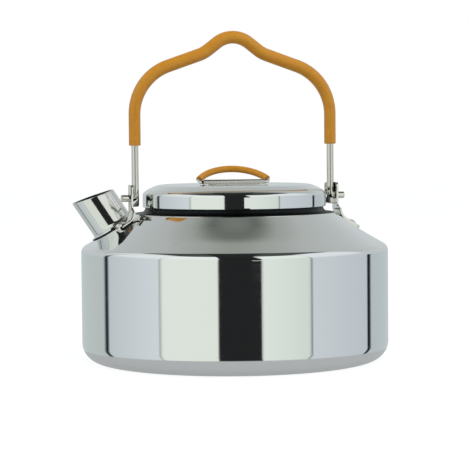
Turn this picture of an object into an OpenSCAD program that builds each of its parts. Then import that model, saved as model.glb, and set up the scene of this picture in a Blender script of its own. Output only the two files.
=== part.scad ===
// Camping kettle of polished sheet steel: a squat round body with a sloping
// shoulder, a short tilted spout, a lift-off lid with a folding ring, and a
// wire bail with a soft sleeve that swings in two riveted lugs.
// The spout points to -X and the kettle stands on the plane z = 0.

/* [Body] */
// Outer diameter of the body wall
body_d = 137.6; // [128:0.2:146]
// Thickness of the body sheet
sheet_t = 0.6; // [0.5:0.05:0.9]
// Height at which the straight wall ends and the shoulder edge begins
wall_top = 48.9; // [42:0.1:54]
// Radius of the corner between the base and the wall
base_corner_r = 8.75; // [7:0.25:11]

/* [Shoulder and neck] */
// Radius of the edge between the wall and the shoulder cone
edge_r = 3.6; // [2.5:0.1:5]
// Slope of the shoulder cone below the horizontal, in degrees
cone_slope = 31; // [27:0.5:33]
// Radius of the crown between the cone and the ledge
crown_r = 1; // [1:0.1:1.6]
// Width of the flat ledge between the crown and the hollow corner
ledge_w = 0.15; // [0.05:0.05:0.6]
// Outer diameter of the neck
neck_d = 79.6; // [76:0.2:82]
// Radius of the hollow corner at the foot of the neck
neck_fillet_r = 3; // [2:0.1:3.4]
// Height of the neck above the shoulder ledge
neck_h = 9.33; // [8.43:0.1:11.03]
// Radius of the rolled rim bead
rim_bead_r = 0.8; // [0.7:0.05:1]

/* [Lid] */
// Thickness of the lid sheet
lid_t = 0.6; // [0.5:0.05:0.8]
// Gap between the neck and the inside of the lid band
lid_gap = 0.7; // [0.4:0.05:1]
// Gap that the lid band leaves above the shoulder ledge
band_gap = 2.65; // [1.8:0.05:4]
// Radius of the rounded corner at the top of the lid band
lid_corner_r = 1.8; // [1.4:0.1:2.2]
// Slope of the lid ring between the band and the flat top, in degrees
lid_slope = 32; // [26:1:36]
// Radius of the flat top of the lid
lid_flat_r = 33.2; // [32:0.1:34]
// Radius of the blend between the slope and the flat top
lid_blend_r = 8; // [6:0.5:9]
// Gap between the rim bead and the inside of the lid
lid_seat_gap = 0.15; // [0.1:0.05:0.4]
// Angle by which the lid is turned in the neck, in degrees
lid_turn = 8; // [-30:1:30]

/* [Spout] */
// Outer diameter of the spout tube
spout_d = 18.9; // [16:0.1:20]
// Thickness of the spout wall
spout_t = 0.6; // [0.5:0.05:0.9]
// Length of the spout along its axis
spout_len = 17; // [14:0.5:24]
// Lean of the spout from the vertical, in degrees
spout_lean = 33.5; // [29:0.5:36]
// Slant of the mouth cut, in degrees
mouth_slant = 14.5; // [8:0.5:18]
// Distance of the spout foot from the kettle axis
spout_foot_x = 54.2; // [53.8:0.1:56]
// Diameter of the flange at the spout foot
flange_d = 21.9; // [20.6:0.1:22.2]
// Thickness of the flange rim
flange_t = 0.8; // [0.6:0.1:1.1]
// Depth of the flange edge below its rim, trimmed to the shoulder
flange_skirt = 3; // [2.6:0.1:3.6]

/* [Bail] */
// Angle between the bail and the spout, seen from above, in degrees
bail_turn = 14; // [13.5:0.5:24]
// Wire diameter of the bail
bail_wire_d = 3.1; // [2.6:0.1:3.4]
// Gap between the lid band and each bail leg
leg_gap = 2.45; // [2.15:0.05:3.35]
// Height of the bail pivot above the ledge of the shoulder
pivot_rise = 7; // [6.2:0.01:9.2]
// Centre line radius of the bend between a leg and its pin
pin_bend_r = 1.75; // [1.7:0.05:2]
// Length of the straight pin that passes the lug
pin_len = 4.7; // [4:0.1:6]
// Centre line radius of the upper corner of the bail
corner_r = 22.8; // [20:0.2:25]
// Slope of the crossbar between the corner and the hump, in degrees
bar_slope = 19.2; // [16:0.2:22]
// Height of the hump centre line above the pivot
hump_h = 71.3; // [60:0.1:86]
// Centre line radius of the hump
hump_r = 12; // [10:0.2:13.6]
// Slope of the sides of the hump, in degrees
hump_slope = 37.6; // [34:0.2:42]
// Distance of the hollow between the hump and the crossbar from the middle
hollow_u = 13.37; // [11.8:0.01:15]
// Centre line radius of the hollow
hollow_r = 15; // [10:0.5:17]
// Outer diameter of the bail sleeve
bail_sleeve_d = 5.6; // [4.8:0.1:6.2]
// Height above the pivot at which the sleeve starts on each leg
bail_sleeve_start = 23.3; // [18:0.1:28]
// Clearance between a sleeve and its wire
sleeve_gap = 0.05; // [0.03:0.01:0.1]

/* [Lugs] */
// Thickness of the lug sheet
lug_t = 0.9; // [0.7:0.05:1.1]
// Clearance between a bail leg and the lug web
web_gap = 0.25; // [0.2:0.05:0.4]
// Clearance around the pin in the lug hole
pin_gap = 0.08; // [0.05:0.01:0.1]
// Height of the lug above the pivot
lug_rise = 5.9; // [4.8:0.1:7]
// Half width of the web in front of the pivot
web_front = 4; // [3.4:0.1:5]
// Clearance between the upright bail and the stop wing behind it
stop_gap = 0.35; // [0.3:0.05:0.5]
// Depth of the stop wing, measured inwards from the web
wing_depth = 3.8; // [3:0.1:4.2]
// Depth of the stop wing below the pivot
wing_drop = 3.9; // [2.4:0.1:4.2]
// Radius of the bend between the web and the foot
lug_bend_r = 5; // [4:0.25:6]
// How far the lug foot reaches in front of the pivot plane
foot_front = 9; // [7.5:0.1:10]
// How far the lug foot reaches behind the pivot plane
foot_rear = 1.5; // [1.2:0.1:1.6]
// Length of the foot beyond the bend on the lug opposite the spout
foot_len_right = 7.5; // [6.8:0.1:9]
// Length of the foot beyond the bend on the lug beside the spout
foot_len_left = 5.4; // [5:0.1:6]

/* [Rivets] */
// Diameter of a rivet shank
rivet_d = 2.4; // [2:0.1:2.6]
// Diameter of a rivet head
rivet_head_d = 4.4; // [3.6:0.1:4.6]
// Height of a rivet head
rivet_head_h = 0.95; // [0.7:0.05:1.1]
// Distance between the two rivets of a lug
rivet_pitch = 5.3; // [4.8:0.1:5.6]
// Clearance around a rivet shank
rivet_gap = 0.05; // [0.03:0.01:0.1]

/* [Lid ring] */
// Wire diameter of the lid ring
ring_wire_d = 1.6; // [1.4:0.1:1.8]
// Height of the gap between the ring bar and the lid
bar_lift = 0.25; // [0.1:0.05:0.4]
// Outer width of the ring between its wire centre lines
ring_w = 31.4; // [28:0.2:36]
// Height of the ring from its bar to the top of its arch
ring_h = 11.6; // [10:0.1:14]
// Centre line radius of the bends at the ends of the bar
ring_bend_r = 1.6; // [1.5:0.1:2]
// Outer diameter of the ring sleeve
ring_sleeve_d = 3; // [2.8:0.1:3.4]
// Angle at which the ring leans back from the vertical, in degrees
ring_lean = 61; // [0:1:70]
// Thickness of the saddle sheet
saddle_t = 0.3; // [0.25:0.05:0.4]
// Depth of the saddle plate, front to back
saddle_w = 11; // [9:0.5:13]
// Clearance around the ring bar in the saddle
saddle_gap = 0.05; // [0.03:0.01:0.1]
// Gap between the saddle and each bend of the ring
saddle_end_gap = 0.5; // [0.3:0.1:1]

/* [Hidden] */

$fn = 96;
// Steps along an arc in a turned outline
arc_steps = 9;
// Spare length of a cutting tool
over = 1;
// A straight stretch of rod ends this far inside the next bent one,
lap = 0.05;
// and is this much slimmer, so that the two join cleanly
lap_step = 0.01;

body_r = body_d / 2;
base_flat_r = body_r - base_corner_r;

// The shoulder outline from the wall to the neck: edge arc, cone, crown, ledge, hollow
edge_c = [body_r - edge_r, wall_top];
edge_end = edge_c + edge_r * [sin(cone_slope), cos(cone_slope)];
neck_r = neck_d / 2;
crown_cx = neck_r + neck_fillet_r + ledge_w;
crown_start_x = crown_cx + crown_r * sin(cone_slope);
crown_start = [crown_start_x, cone_z(crown_start_x)];
crown_c = [crown_cx, crown_start[1] - crown_r * cos(cone_slope)];
ledge_z = crown_c[1] + crown_r;
fillet_c = [neck_r + neck_fillet_r, ledge_z + neck_fillet_r];
neck_top = ledge_z + neck_h;
rim_c = [neck_r - rim_bead_r, neck_top - rim_bead_r];

// The lid outline is built outwards from where its inside meets the rim bead
band_inner_r = neck_r + lid_gap;
band_r = band_inner_r + lid_t;
lid_corner_inner_r = lid_corner_r - lid_t;
lid_corner_x = band_r - lid_corner_r;
// Height of the inside of the lid corner above the centre of its arc, over the bead
seat_dx = neck_r - rim_bead_r - lid_corner_x;
seat_line = lid_corner_inner_r / cos(lid_slope) - seat_dx * tan(lid_slope);
lid_corner_z = rim_c[1] + (rim_bead_r + lid_seat_gap) / cos(lid_slope) - seat_line;
lid_corner_c = [lid_corner_x, lid_corner_z];
band_bottom = ledge_z + band_gap;
blend_end_x = lid_flat_r + lid_blend_r * sin(lid_slope);
corner_start = lid_corner_c + lid_corner_r * [sin(lid_slope), cos(lid_slope)];
blend_end_z = corner_start[1] + (corner_start[0] - blend_end_x) * tan(lid_slope);
lid_top = blend_end_z + lid_blend_r * (1 - cos(lid_slope));
blend_c = [lid_flat_r, lid_top - lid_blend_r];

// Spout
spout_r = spout_d / 2;
spout_bore_r = spout_r - spout_t;
flange_r = flange_d / 2;
flange_fillet_r = flange_r - spout_r;
// Height to which the uncut spout tube reaches
spout_uncut = spout_len + spout_d;

// Bail centre line, in the plane of the bail: u outwards, z up
wire_r = bail_wire_d / 2;
leg_u = band_r + leg_gap + wire_r;
pivot_z = ledge_z + pivot_rise;
pin_start_u = leg_u + pin_bend_r;
hump_c = [0, pivot_z + hump_h - hump_r];
hump_end = hump_c + hump_r * [sin(hump_slope), cos(hump_slope)];
meet = [hollow_u, hump_end[1] - (hollow_u - hump_end[0]) * tan(hump_slope)];
// The crossbar falls from the hollow to the corner, which sets the length of the legs
bar_end_u = leg_u - corner_r + corner_r * sin(bar_slope);
bar_end = [bar_end_u, meet[1] - (bar_end_u - hollow_u) * tan(bar_slope)];
corner_c = bar_end - corner_r * [sin(bar_slope), cos(bar_slope)];
hollow_run = hollow_r * tan((hump_slope - bar_slope) / 2);
hollow_start = meet - hollow_run * [cos(hump_slope), -sin(hump_slope)];
hollow_end = meet + hollow_run * [cos(bar_slope), -sin(bar_slope)];
hollow_c = hollow_start + hollow_r * [sin(hump_slope), cos(hump_slope)];
bail_sleeve_r = bail_sleeve_d / 2;
bail_bore_r = wire_r + sleeve_gap;

// Lugs, in the same plane
web_in = leg_u + wire_r + web_gap;
web_out = web_in + lug_t;
lug_top = pivot_z + lug_rise;
wing_v = wire_r + stop_gap;
lug_bend_c = [
    web_out + lug_bend_r,
    cone_z(web_out + lug_bend_r) + (lug_bend_r + lug_t) / cos(cone_slope)
];
lug_turn_deg = 90 - cone_slope;
foot_start = lug_bend_c - (lug_bend_r + lug_t) * [sin(cone_slope), cos(cone_slope)];
// Depth that the foot reaches into the shoulder before it is trimmed to it
foot_sink = 1.2;
foot_corner = 2;
web_flare = 3.5;
hole_r = wire_r + pin_gap;
rivet_mid_v = (foot_rear - foot_front) / 2;

// Lid ring, in its own plane: x along the bar, h up from it
ring_r = ring_wire_d / 2;
bar_half = ring_w / 2 - ring_bend_r;
arch_r = (bar_half * bar_half / (ring_h - 2 * ring_bend_r) + ring_h) / 2;
arch_h = ring_h - arch_r;
arch_deg = atan2(ring_bend_r - arch_h, bar_half);
// Angle by which the arch ends inside each bend
lap_deg = 0.15;
ring_bore_r = ring_r + sleeve_gap;
saddle_half = bar_half - saddle_end_gap;
ring_axis_h = ring_r + bar_lift;
saddle_corner = 1.5;

// Height of the straight shoulder cone at a distance x from the axis
function cone_z(x) = edge_end[1] + (edge_end[0] - x) * tan(cone_slope);

// Points along an arc around c, from angle a0 to a1
function arc(c, r, a0, a1, n = arc_steps) =
    [for (i = [0:n]) c + r * [cos(a0 + (a1 - a0) * i / n), sin(a0 + (a1 - a0) * i / n)]];

// Outer outline of the shoulder, moved inwards by t
function shoulder_line(t) = concat(
    arc(edge_c, edge_r - t, 0, 90 - cone_slope),
    arc(crown_c, crown_r - t, 90 - cone_slope, 90),
    arc(fillet_c, neck_fillet_r + t, 270, 180)
);

// Outer outline of the cup from the middle of the base to the wall, moved inwards by t
function cup_line(t) = concat(
    [[0, t]],
    arc([base_flat_r, base_corner_r], base_corner_r - t, 270, 360)
);

// Outer outline of the lid from the band to the flat top, moved inwards by t
function lid_line(t) = concat(
    arc(lid_corner_c, lid_corner_r - t, 0, 90 - lid_slope),
    arc(blend_c, lid_blend_r - t, 90 - lid_slope, 90)
);

// Points of a list in the opposite order
function backwards(points) = [for (i = [len(points) - 1:-1:0]) points[i]];

module turned(points) {
    rotate_extrude() polygon(points);
}

// Solid that fills everything below the outer face of the shoulder
module under_shoulder() {
    outline = shoulder_line(0);
    last = outline[len(outline) - 1];
    turned(concat([[0, 0], [body_r, 0]], outline, [[last[0], neck_top], [0, neck_top]]));
}

// Moves its children to the spout foot and leans them with the spout
module at_spout() {
    translate([-spout_foot_x, 0, cone_z(spout_foot_x)]) rotate([0, -spout_lean, 0]) children();
}

// Turns its children into the plane of the bail
module in_bail_plane() {
    rotate([0, 0, bail_turn]) children();
}

// Places its children on the shoulder at distance u, height measured from the cone
module on_cone(u, v) {
    translate([u, v, cone_z(u)]) rotate([0, cone_slope, 0]) children();
}

// Distance u of the rivets of a lug whose foot has the given length
function rivet_u(foot_len) = foot_start[0] + foot_len / 2 * cos(cone_slope);

// Places its children at the two rivets of a lug: 0 is the front one, 1 the rear
module at_rivet(foot_len, which) {
    on_cone(rivet_u(foot_len), rivet_mid_v + (which - 0.5) * rivet_pitch) children();
}

// Holes for the rivets of both lugs
module rivet_holes(r) {
    in_bail_plane() for (which = [0, 1]) {
        at_rivet(foot_len_right, which) translate([0, 0, -4]) cylinder(r = r, h = 8);
        mirror([1, 0, 0]) at_rivet(foot_len_left, which) translate([0, 0, -4])
            cylinder(r = r, h = 8);
    }
}

module body_cup() {
    color("silver") turned(concat(
        cup_line(0),
        [[body_r, wall_top], [body_r - sheet_t, wall_top]],
        backwards(cup_line(sheet_t))
    ));
}

module shoulder() {
    color("silver") difference() {
        union() {
            turned(concat(
                shoulder_line(0),
                [[neck_r, rim_c[1]], [neck_r - sheet_t, rim_c[1]]],
                backwards(shoulder_line(sheet_t))
            ));
            turned(arc(rim_c, rim_bead_r, 0, 345, 23));
        }
        at_spout() translate([0, 0, -8]) cylinder(r = spout_bore_r, h = 16);
        rivet_holes(rivet_d / 2 + rivet_gap);
    }
}

module spout() {
    color("silver") difference() {
        at_spout() difference() {
            turned(concat(
                [[0, -flange_skirt], [flange_r, -flange_skirt]],
                arc([flange_r, flange_t + flange_fillet_r], flange_fillet_r, 270, 180),
                [[spout_r, spout_uncut], [0, spout_uncut]]
            ));
            translate([0, 0, -flange_skirt - over])
                cylinder(r = spout_bore_r, h = spout_uncut + flange_skirt + 2 * over);
            translate([0, 0, spout_len]) rotate([0, mouth_slant, 0])
                translate([-spout_d, -spout_d, 0]) cube([2 * spout_d, 2 * spout_d, 2 * spout_d]);
        }
        under_shoulder();
    }
}

// Side outline of a lug: web, bend and foot, with the foot sunk for trimming
function lug_side(foot_len) =
    let (
        along = [cos(cone_slope), -sin(cone_slope)],
        down = -[sin(cone_slope), cos(cone_slope)],
        start = lug_bend_c + lug_bend_r * down,
        finish = start + foot_len * along
    )
    concat(
        [[web_in, lug_top], [web_out, lug_top]],
        arc(lug_bend_c, lug_bend_r, 180, 180 + lug_turn_deg),
        [finish, finish + (lug_t + foot_sink) * down, start + (lug_t + foot_sink) * down],
        backwards(arc(lug_bend_c, lug_bend_r + lug_t, 180, 180 + lug_turn_deg))
    );

// One lug on the +u side of the bail plane
module lug(foot_len) {
    difference() {
        union() {
            difference() {
                translate([0, wing_v + lug_t, 0]) rotate([90, 0, 0])
                    linear_extrude(height = wing_v + lug_t + foot_front)
                    polygon(lug_side(foot_len));
                // The web narrows above the foot
                translate([web_in - over, 0, 0]) rotate([90, 0, 90])
                    linear_extrude(height = lug_t + 2 * over)
                    polygon([
                        [-foot_front - over, lug_top + over],
                        [-web_front + foot_corner, lug_top + over],
                        [-web_front + foot_corner, lug_top],
                        [-web_front, lug_top - foot_corner],
                        [-web_front, pivot_z - web_flare],
                        [-foot_front, lug_bend_c[1]],
                        [-foot_front - over, lug_bend_c[1]]
                    ]);
                // The foot stops short of the spout flange
                translate([lug_bend_c[0] - lug_bend_r * cos(lug_turn_deg / 2), foot_rear, 0])
                    cube([foot_len + 2 * lug_bend_r, foot_front, lug_bend_c[1]]);
                // The front corner of the foot is cut off
                on_cone(foot_start[0] + foot_len * cos(cone_slope), -foot_front)
                    rotate([0, 0, 45]) cube([foot_corner, foot_corner, 8], center = true);
            }
            // Stop wing behind the upright bail
            translate([web_out - lug_t - wing_depth, wing_v, pivot_z - wing_drop])
                cube([wing_depth + lug_t, lug_t, wing_drop + lug_rise]);
        }
        translate([web_in - over, 0, pivot_z]) rotate([0, 90, 0])
            cylinder(r = hole_r, h = lug_t + 2 * over);
        for (which = [0, 1]) at_rivet(foot_len, which) translate([0, 0, -4])
            cylinder(r = rivet_d / 2 + rivet_gap, h = 8);
        rotate([0, 0, -bail_turn]) under_shoulder();
    }
}

module lug_right() {
    color("gainsboro") in_bail_plane() lug(foot_len_right);
}

module lug_left() {
    color("gainsboro") in_bail_plane() mirror([1, 0, 0]) lug(foot_len_left);
}

// A set rivet: domed head on the foot, shank, and a flat tail under the shoulder
module rivet(foot_len, which) {
    v = rivet_mid_v + (which - 0.5) * rivet_pitch;
    u = rivet_u(foot_len);
    head_r = rivet_head_d / 2;
    dome_r = (head_r * head_r + rivet_head_h * rivet_head_h) / (2 * rivet_head_h);
    tail_r = rivet_head_d * 0.42;
    // The round cone falls away from the flat foot beside its middle
    far = abs(v) + tail_r;
    fall = (sqrt(u * u + far * far) - u) * sin(cone_slope);
    tail_z = -fall - sheet_t - rivet_gap;
    tail_h = rivet_head_h / 2;
    at_rivet(foot_len, which) {
        translate([0, 0, lug_t]) rotate_extrude() intersection() {
            translate([0, rivet_head_h - dome_r]) circle(r = dome_r);
            square([head_r, rivet_head_h]);
        }
        translate([0, 0, tail_z - tail_h / 2])
            cylinder(r = rivet_d / 2, h = lug_t + (rivet_head_h + tail_h) / 2 - tail_z);
        translate([0, 0, tail_z - tail_h]) cylinder(r = tail_r, h = tail_h);
    }
}

module rivet_right_front() {
    color("lightgrey") in_bail_plane() rivet(foot_len_right, 0);
}

module rivet_right_rear() {
    color("lightgrey") in_bail_plane() rivet(foot_len_right, 1);
}

module rivet_left_front() {
    color("lightgrey") in_bail_plane() mirror([1, 0, 0]) rivet(foot_len_left, 0);
}

module rivet_left_rear() {
    color("lightgrey") in_bail_plane() mirror([1, 0, 0]) rivet(foot_len_left, 1);
}

// Round section at a distance from the axis, hollow where a bore is given
module rod_section(x, r, bore) {
    translate([x, 0]) difference() {
        circle(r = r);
        if (bore > 0) circle(r = bore);
    }
}

// Bent stretch of rod in the upright plane, around c
module rod_arc(c, path_r, a0, a1, r, bore = 0) {
    translate([c[0], 0, c[1]]) rotate([90, 0, 0])
        rotate_extrude(angle = a1 - a0, start = a0) rod_section(path_r, r, bore);
}

// Straight stretch of rod in the upright plane, from p to q, lapped into its neighbours
module rod_run(p, q, r, bore = 0) {
    step = q - p;
    translate([p[0], 0, p[1]]) rotate([0, atan2(step[0], step[1]), 0])
        translate([0, 0, -lap]) linear_extrude(height = norm(step) + 2 * lap)
        rod_section(0, r - lap_step, bore > 0 ? bore + lap_step : 0);
}

// Crossbar and corner on the +u side, down to height z on the leg
module bail_half(z, r, bore = 0) {
    rod_run(hump_end, hollow_start, r, bore);
    rod_arc(hollow_c, hollow_r, 270 - hump_slope, 270 - bar_slope, r, bore);
    rod_run(hollow_end, bar_end, r, bore);
    rod_arc(corner_c, corner_r, 0, 90 - bar_slope, r, bore);
    rod_run([leg_u, z], [leg_u, corner_c[1]], r, bore);
}

module bail_wire() {
    color("lightgrey") in_bail_plane() {
        rod_arc(hump_c, hump_r, 90 - hump_slope, 90 + hump_slope, wire_r);
        for (side = [0, 1]) mirror([side, 0, 0]) {
            bail_half(pivot_z + pin_bend_r, wire_r);
            rod_arc([pin_start_u, pivot_z + pin_bend_r], pin_bend_r, 180, 270, wire_r);
            rod_run([pin_start_u, pivot_z], [pin_start_u + pin_len, pivot_z], wire_r);
        }
    }
}

module bail_sleeve() {
    color("orange") in_bail_plane() {
        rod_arc(hump_c, hump_r, 90 - hump_slope, 90 + hump_slope, bail_sleeve_r, bail_bore_r);
        for (side = [0, 1]) mirror([side, 0, 0])
            bail_half(pivot_z + bail_sleeve_start, bail_sleeve_r, bail_bore_r);
    }
}

module lid_shell() {
    color("silver") turned(concat(
        [[band_inner_r, band_bottom], [band_r, band_bottom]],
        lid_line(0),
        [[0, lid_top], [0, lid_top - lid_t]],
        backwards(lid_line(lid_t))
    ));
}

// Turns its children with the lid and lifts them to the axis of the ring bar
module at_ring_axis() {
    translate([0, 0, lid_top + ring_axis_h]) rotate([0, 0, lid_turn]) children();
}

module lid_saddle() {
    channel_r = ring_r + saddle_gap;
    hood_r = channel_r + saddle_t;
    color("gainsboro") at_ring_axis() difference() {
        union() {
            translate([0, 0, -ring_axis_h]) linear_extrude(height = saddle_t) polygon([
                [-saddle_half, -saddle_w / 2 + saddle_corner],
                [-saddle_half + saddle_corner, -saddle_w / 2],
                [saddle_half - saddle_corner, -saddle_w / 2],
                [saddle_half, -saddle_w / 2 + saddle_corner],
                [saddle_half, saddle_w / 2 - saddle_corner],
                [saddle_half - saddle_corner, saddle_w / 2],
                [-saddle_half + saddle_corner, saddle_w / 2],
                [-saddle_half, saddle_w / 2 - saddle_corner]
            ]);
            translate([-saddle_half, 0, 0]) rotate([0, 90, 0])
                cylinder(r = hood_r, h = 2 * saddle_half);
            translate([-saddle_half, -hood_r, -ring_axis_h])
                cube([2 * saddle_half, 2 * hood_r, ring_axis_h]);
        }
        translate([-saddle_half - over, 0, 0]) rotate([0, 90, 0])
            cylinder(r = channel_r, h = 2 * (saddle_half + over));
        translate([-saddle_half - over, -channel_r, -ring_axis_h - over])
            cube([2 * (saddle_half + over), 2 * channel_r, ring_axis_h + over]);
        // Nothing of the hood reaches below the lid
        translate([-saddle_half - over, -saddle_w, -ring_axis_h - hood_r])
            cube([2 * (saddle_half + over), 2 * saddle_w, hood_r]);
    }
}

// Leans its children back with the ring
module ring_leaned() {
    at_ring_axis() rotate([-ring_lean, 0, 0]) children();
}

module lid_ring_wire() {
    color("lightgrey") ring_leaned() {
        rod_run([-bar_half, 0], [bar_half, 0], ring_r);
        for (side = [0, 1]) mirror([side, 0, 0])
            rod_arc([bar_half, ring_bend_r], ring_bend_r, 270, 360 + arch_deg, ring_r);
        rod_arc([0, arch_h], arch_r, arch_deg - lap_deg, 180 - arch_deg + lap_deg,
            ring_r - lap_step);
    }
}

module lid_ring_sleeve() {
    color("orange") ring_leaned()
        rod_arc([0, arch_h], arch_r, arch_deg, 180 - arch_deg, ring_sleeve_d / 2, ring_bore_r);
}

body_cup();
shoulder();
spout();
lug_right();
lug_left();
rivet_right_front();
rivet_right_rear();
rivet_left_front();
rivet_left_rear();
bail_wire();
bail_sleeve();
lid_shell();
lid_saddle();
lid_ring_wire();
lid_ring_sleeve();
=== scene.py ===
"""Dresses the camping kettle: mirror-polished steel shells, a sleeved wire bail and a small lid ring.

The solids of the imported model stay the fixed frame. Every turned, swept or pressed piece is made here
again with a finer mesh, because polished sheet shows each facet of a coarse one. Sizes are in
millimetres and angles in degrees, heights are measured from the surface that the kettle stands on, the
spout points to -X, and the camera looks along +Y.
"""

from __future__ import annotations

import logging
import math
from collections.abc import Callable, Sequence
from dataclasses import dataclass, field
from enum import Enum
from typing import Any

import bmesh
import bpy
from mathutils import Matrix, Vector

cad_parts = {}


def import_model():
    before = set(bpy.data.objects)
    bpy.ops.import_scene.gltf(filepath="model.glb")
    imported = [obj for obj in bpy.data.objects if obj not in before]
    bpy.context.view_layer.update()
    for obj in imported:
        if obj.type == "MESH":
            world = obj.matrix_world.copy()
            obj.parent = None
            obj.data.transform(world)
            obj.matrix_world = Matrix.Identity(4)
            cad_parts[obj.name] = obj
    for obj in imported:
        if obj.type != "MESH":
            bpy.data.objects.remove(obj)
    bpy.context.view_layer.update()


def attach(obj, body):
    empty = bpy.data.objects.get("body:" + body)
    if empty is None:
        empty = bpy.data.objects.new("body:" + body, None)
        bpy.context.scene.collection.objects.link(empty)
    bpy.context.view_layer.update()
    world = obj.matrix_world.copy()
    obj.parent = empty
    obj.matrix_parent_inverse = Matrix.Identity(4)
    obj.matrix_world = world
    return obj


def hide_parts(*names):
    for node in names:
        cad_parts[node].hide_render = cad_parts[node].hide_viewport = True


LOG = logging.getLogger("kettle")
MM = 0.001
AXIS_R = 1e-6
SAME_PLACE_M = 1e-7
CREASE = 32.0
EDGE_STEP = 15

Point = tuple[float, float]
Spot = Sequence[float]
Row = tuple[Point, Point, float, float]


class Body(Enum):
    """Rigid bodies that the pieces ride on."""

    KETTLE = "kettle"
    BAIL = "bail"
    LID = "lid"
    LID_RING = "lid_ring"


class Slot(Enum):
    """Material slots of the record."""

    POLISHED_STEEL = "polished_steel"
    WIRE_STEEL = "wire_steel"
    LUG_STEEL = "lug_steel"
    SLEEVE = "sleeve"


def linear(colour: str) -> tuple[float, float, float, float]:
    """Turns an sRGB hex colour into the linear colour that a shader socket takes.

    Args:
        colour: Six hex digits with a leading hash.

    Returns:
        Red, green, blue and an alpha of one.
    """
    parts = [int(colour[i : i + 2], 16) / 255 for i in (1, 3, 5)]
    made = [c / 12.92 if c <= 0.04045 else ((c + 0.055) / 1.055) ** 2.4 for c in parts]
    return made[0], made[1], made[2], 1.0


def add_node(
    tree: bpy.types.NodeTree, kind: str, links: dict[Any, Any] | None = None, **settings: Any
) -> Any:
    """Adds one node with its settings and its incoming links.

    Args:
        tree: Node tree that takes the node.
        kind: Blender's type name of the node.
        links: Socket name or number of the new node, to an output socket or to a plain value.
        settings: Attributes of the node.

    Returns:
        The new node.
    """
    node = tree.nodes.new(kind)
    for name, value in settings.items():
        setattr(node, name, value)
    for name, value in (links or {}).items():
        if isinstance(value, bpy.types.NodeSocket):
            tree.links.new(value, node.inputs[name])
        else:
            node.inputs[name].default_value = value
    return node


def blank_material(name: str) -> bpy.types.Material:
    """Makes a material with an empty node tree.

    Args:
        name: Name of the material.

    Returns:
        The material.
    """
    material = bpy.data.materials.new(name)
    material.use_nodes = True
    material.node_tree.nodes.clear()
    return material


def sin(degrees: float) -> float:
    """Sine of an angle in degrees."""
    return math.sin(math.radians(degrees))


def cos(degrees: float) -> float:
    """Cosine of an angle in degrees."""
    return math.cos(math.radians(degrees))


def tan(degrees: float) -> float:
    """Tangent of an angle in degrees."""
    return math.tan(math.radians(degrees))


def on_round(centre: Point, radius: float, slope: float) -> Point:
    """Point of a circle at which its outline falls away outwards by an angle."""
    return centre[0] + radius * sin(slope), centre[1] + radius * cos(slope)


def corner_cut(radius: float, depth: float) -> float:
    """How far a rounded corner draws an edge in, at a depth past the start of the rounding."""
    return radius - math.sqrt(max(0.0, radius**2 - max(0.0, depth) ** 2))


def arc(centre: Point, radius: float, start: float, end: float, step: float = 3.0) -> list[Point]:
    """Points along an arc in a plane.

    Args:
        centre: Centre of the arc.
        radius: Radius of the arc.
        start: Angle of the first point, in degrees.
        end: Angle of the last point, in degrees.
        step: Largest angle between two points, in degrees.

    Returns:
        The points, both ends included.
    """
    count = max(2, math.ceil(abs(end - start) / step))
    turn = [start + (end - start) * i / count for i in range(count + 1)]
    return [(centre[0] + radius * cos(a), centre[1] + radius * sin(a)) for a in turn]


def around(count: int) -> list[Point]:
    """Evenly spaced points on a circle of radius one."""
    return [(math.cos(math.tau * k / count), math.sin(math.tau * k / count)) for k in range(count)]


def guarded(points: Sequence[Point], reach: float = 0.35, long: float = 2.5) -> list[Point]:
    """Adds a point close to both ends of each long straight stretch, which keeps its shading true.

    Args:
        points: Outline of a turned shell.
        reach: Distance of an added point from the end of the stretch.
        long: Length from which a stretch counts as long.

    Returns:
        The outline with the added points.
    """
    made: list[Point] = [points[0]]
    for a, b in zip(points, points[1:]):
        span = math.dist(a, b)
        if span > long:
            for share in (reach / span, 1 - reach / span):
                made.append((a[0] + (b[0] - a[0]) * share, a[1] + (b[1] - a[1]) * share))
        made.append(b)
    return made


def smoothed(piece: bpy.types.Object, sharp: float) -> None:
    """Shades a piece smooth, apart from edges sharper than an angle."""
    piece.data.shade_smooth()
    piece.data.set_sharp_from_angle(angle=math.radians(sharp))


def mesh_object(
    name: str, verts: Sequence[Spot], faces: Sequence[Sequence[int]], sharp: float = CREASE
) -> bpy.types.Object:
    """Makes a smooth-shaded object from points in millimetres.

    Args:
        name: Name of the piece.
        verts: Points in millimetres.
        faces: Point numbers of each face.
        sharp: Angle above which an edge is shaded as a crease, in degrees.

    Returns:
        The object, linked into the scene.
    """
    mesh = bpy.data.meshes.new(name)
    mesh.from_pydata([tuple(c * MM for c in v) for v in verts], [], [list(f) for f in faces])
    bm = bmesh.new()
    bm.from_mesh(mesh)
    bmesh.ops.remove_doubles(bm, verts=bm.verts, dist=SAME_PLACE_M)
    bmesh.ops.recalc_face_normals(bm, faces=bm.faces)
    bm.to_mesh(mesh)
    bm.free()
    made = bpy.data.objects.new(name, mesh)
    smoothed(made, sharp)
    bpy.context.scene.collection.objects.link(made)
    return made


def joined(first: Sequence[int], second: Sequence[int]) -> list[list[int]]:
    """Faces between two rings with the same number of points.

    Args:
        first: Point numbers of one ring.
        second: Point numbers of the other ring.

    Returns:
        One face for each step round the rings.
    """
    after = [*range(1, len(first)), 0]
    return [[first[k], first[j], second[j], second[k]] for k, j in enumerate(after)]


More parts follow.
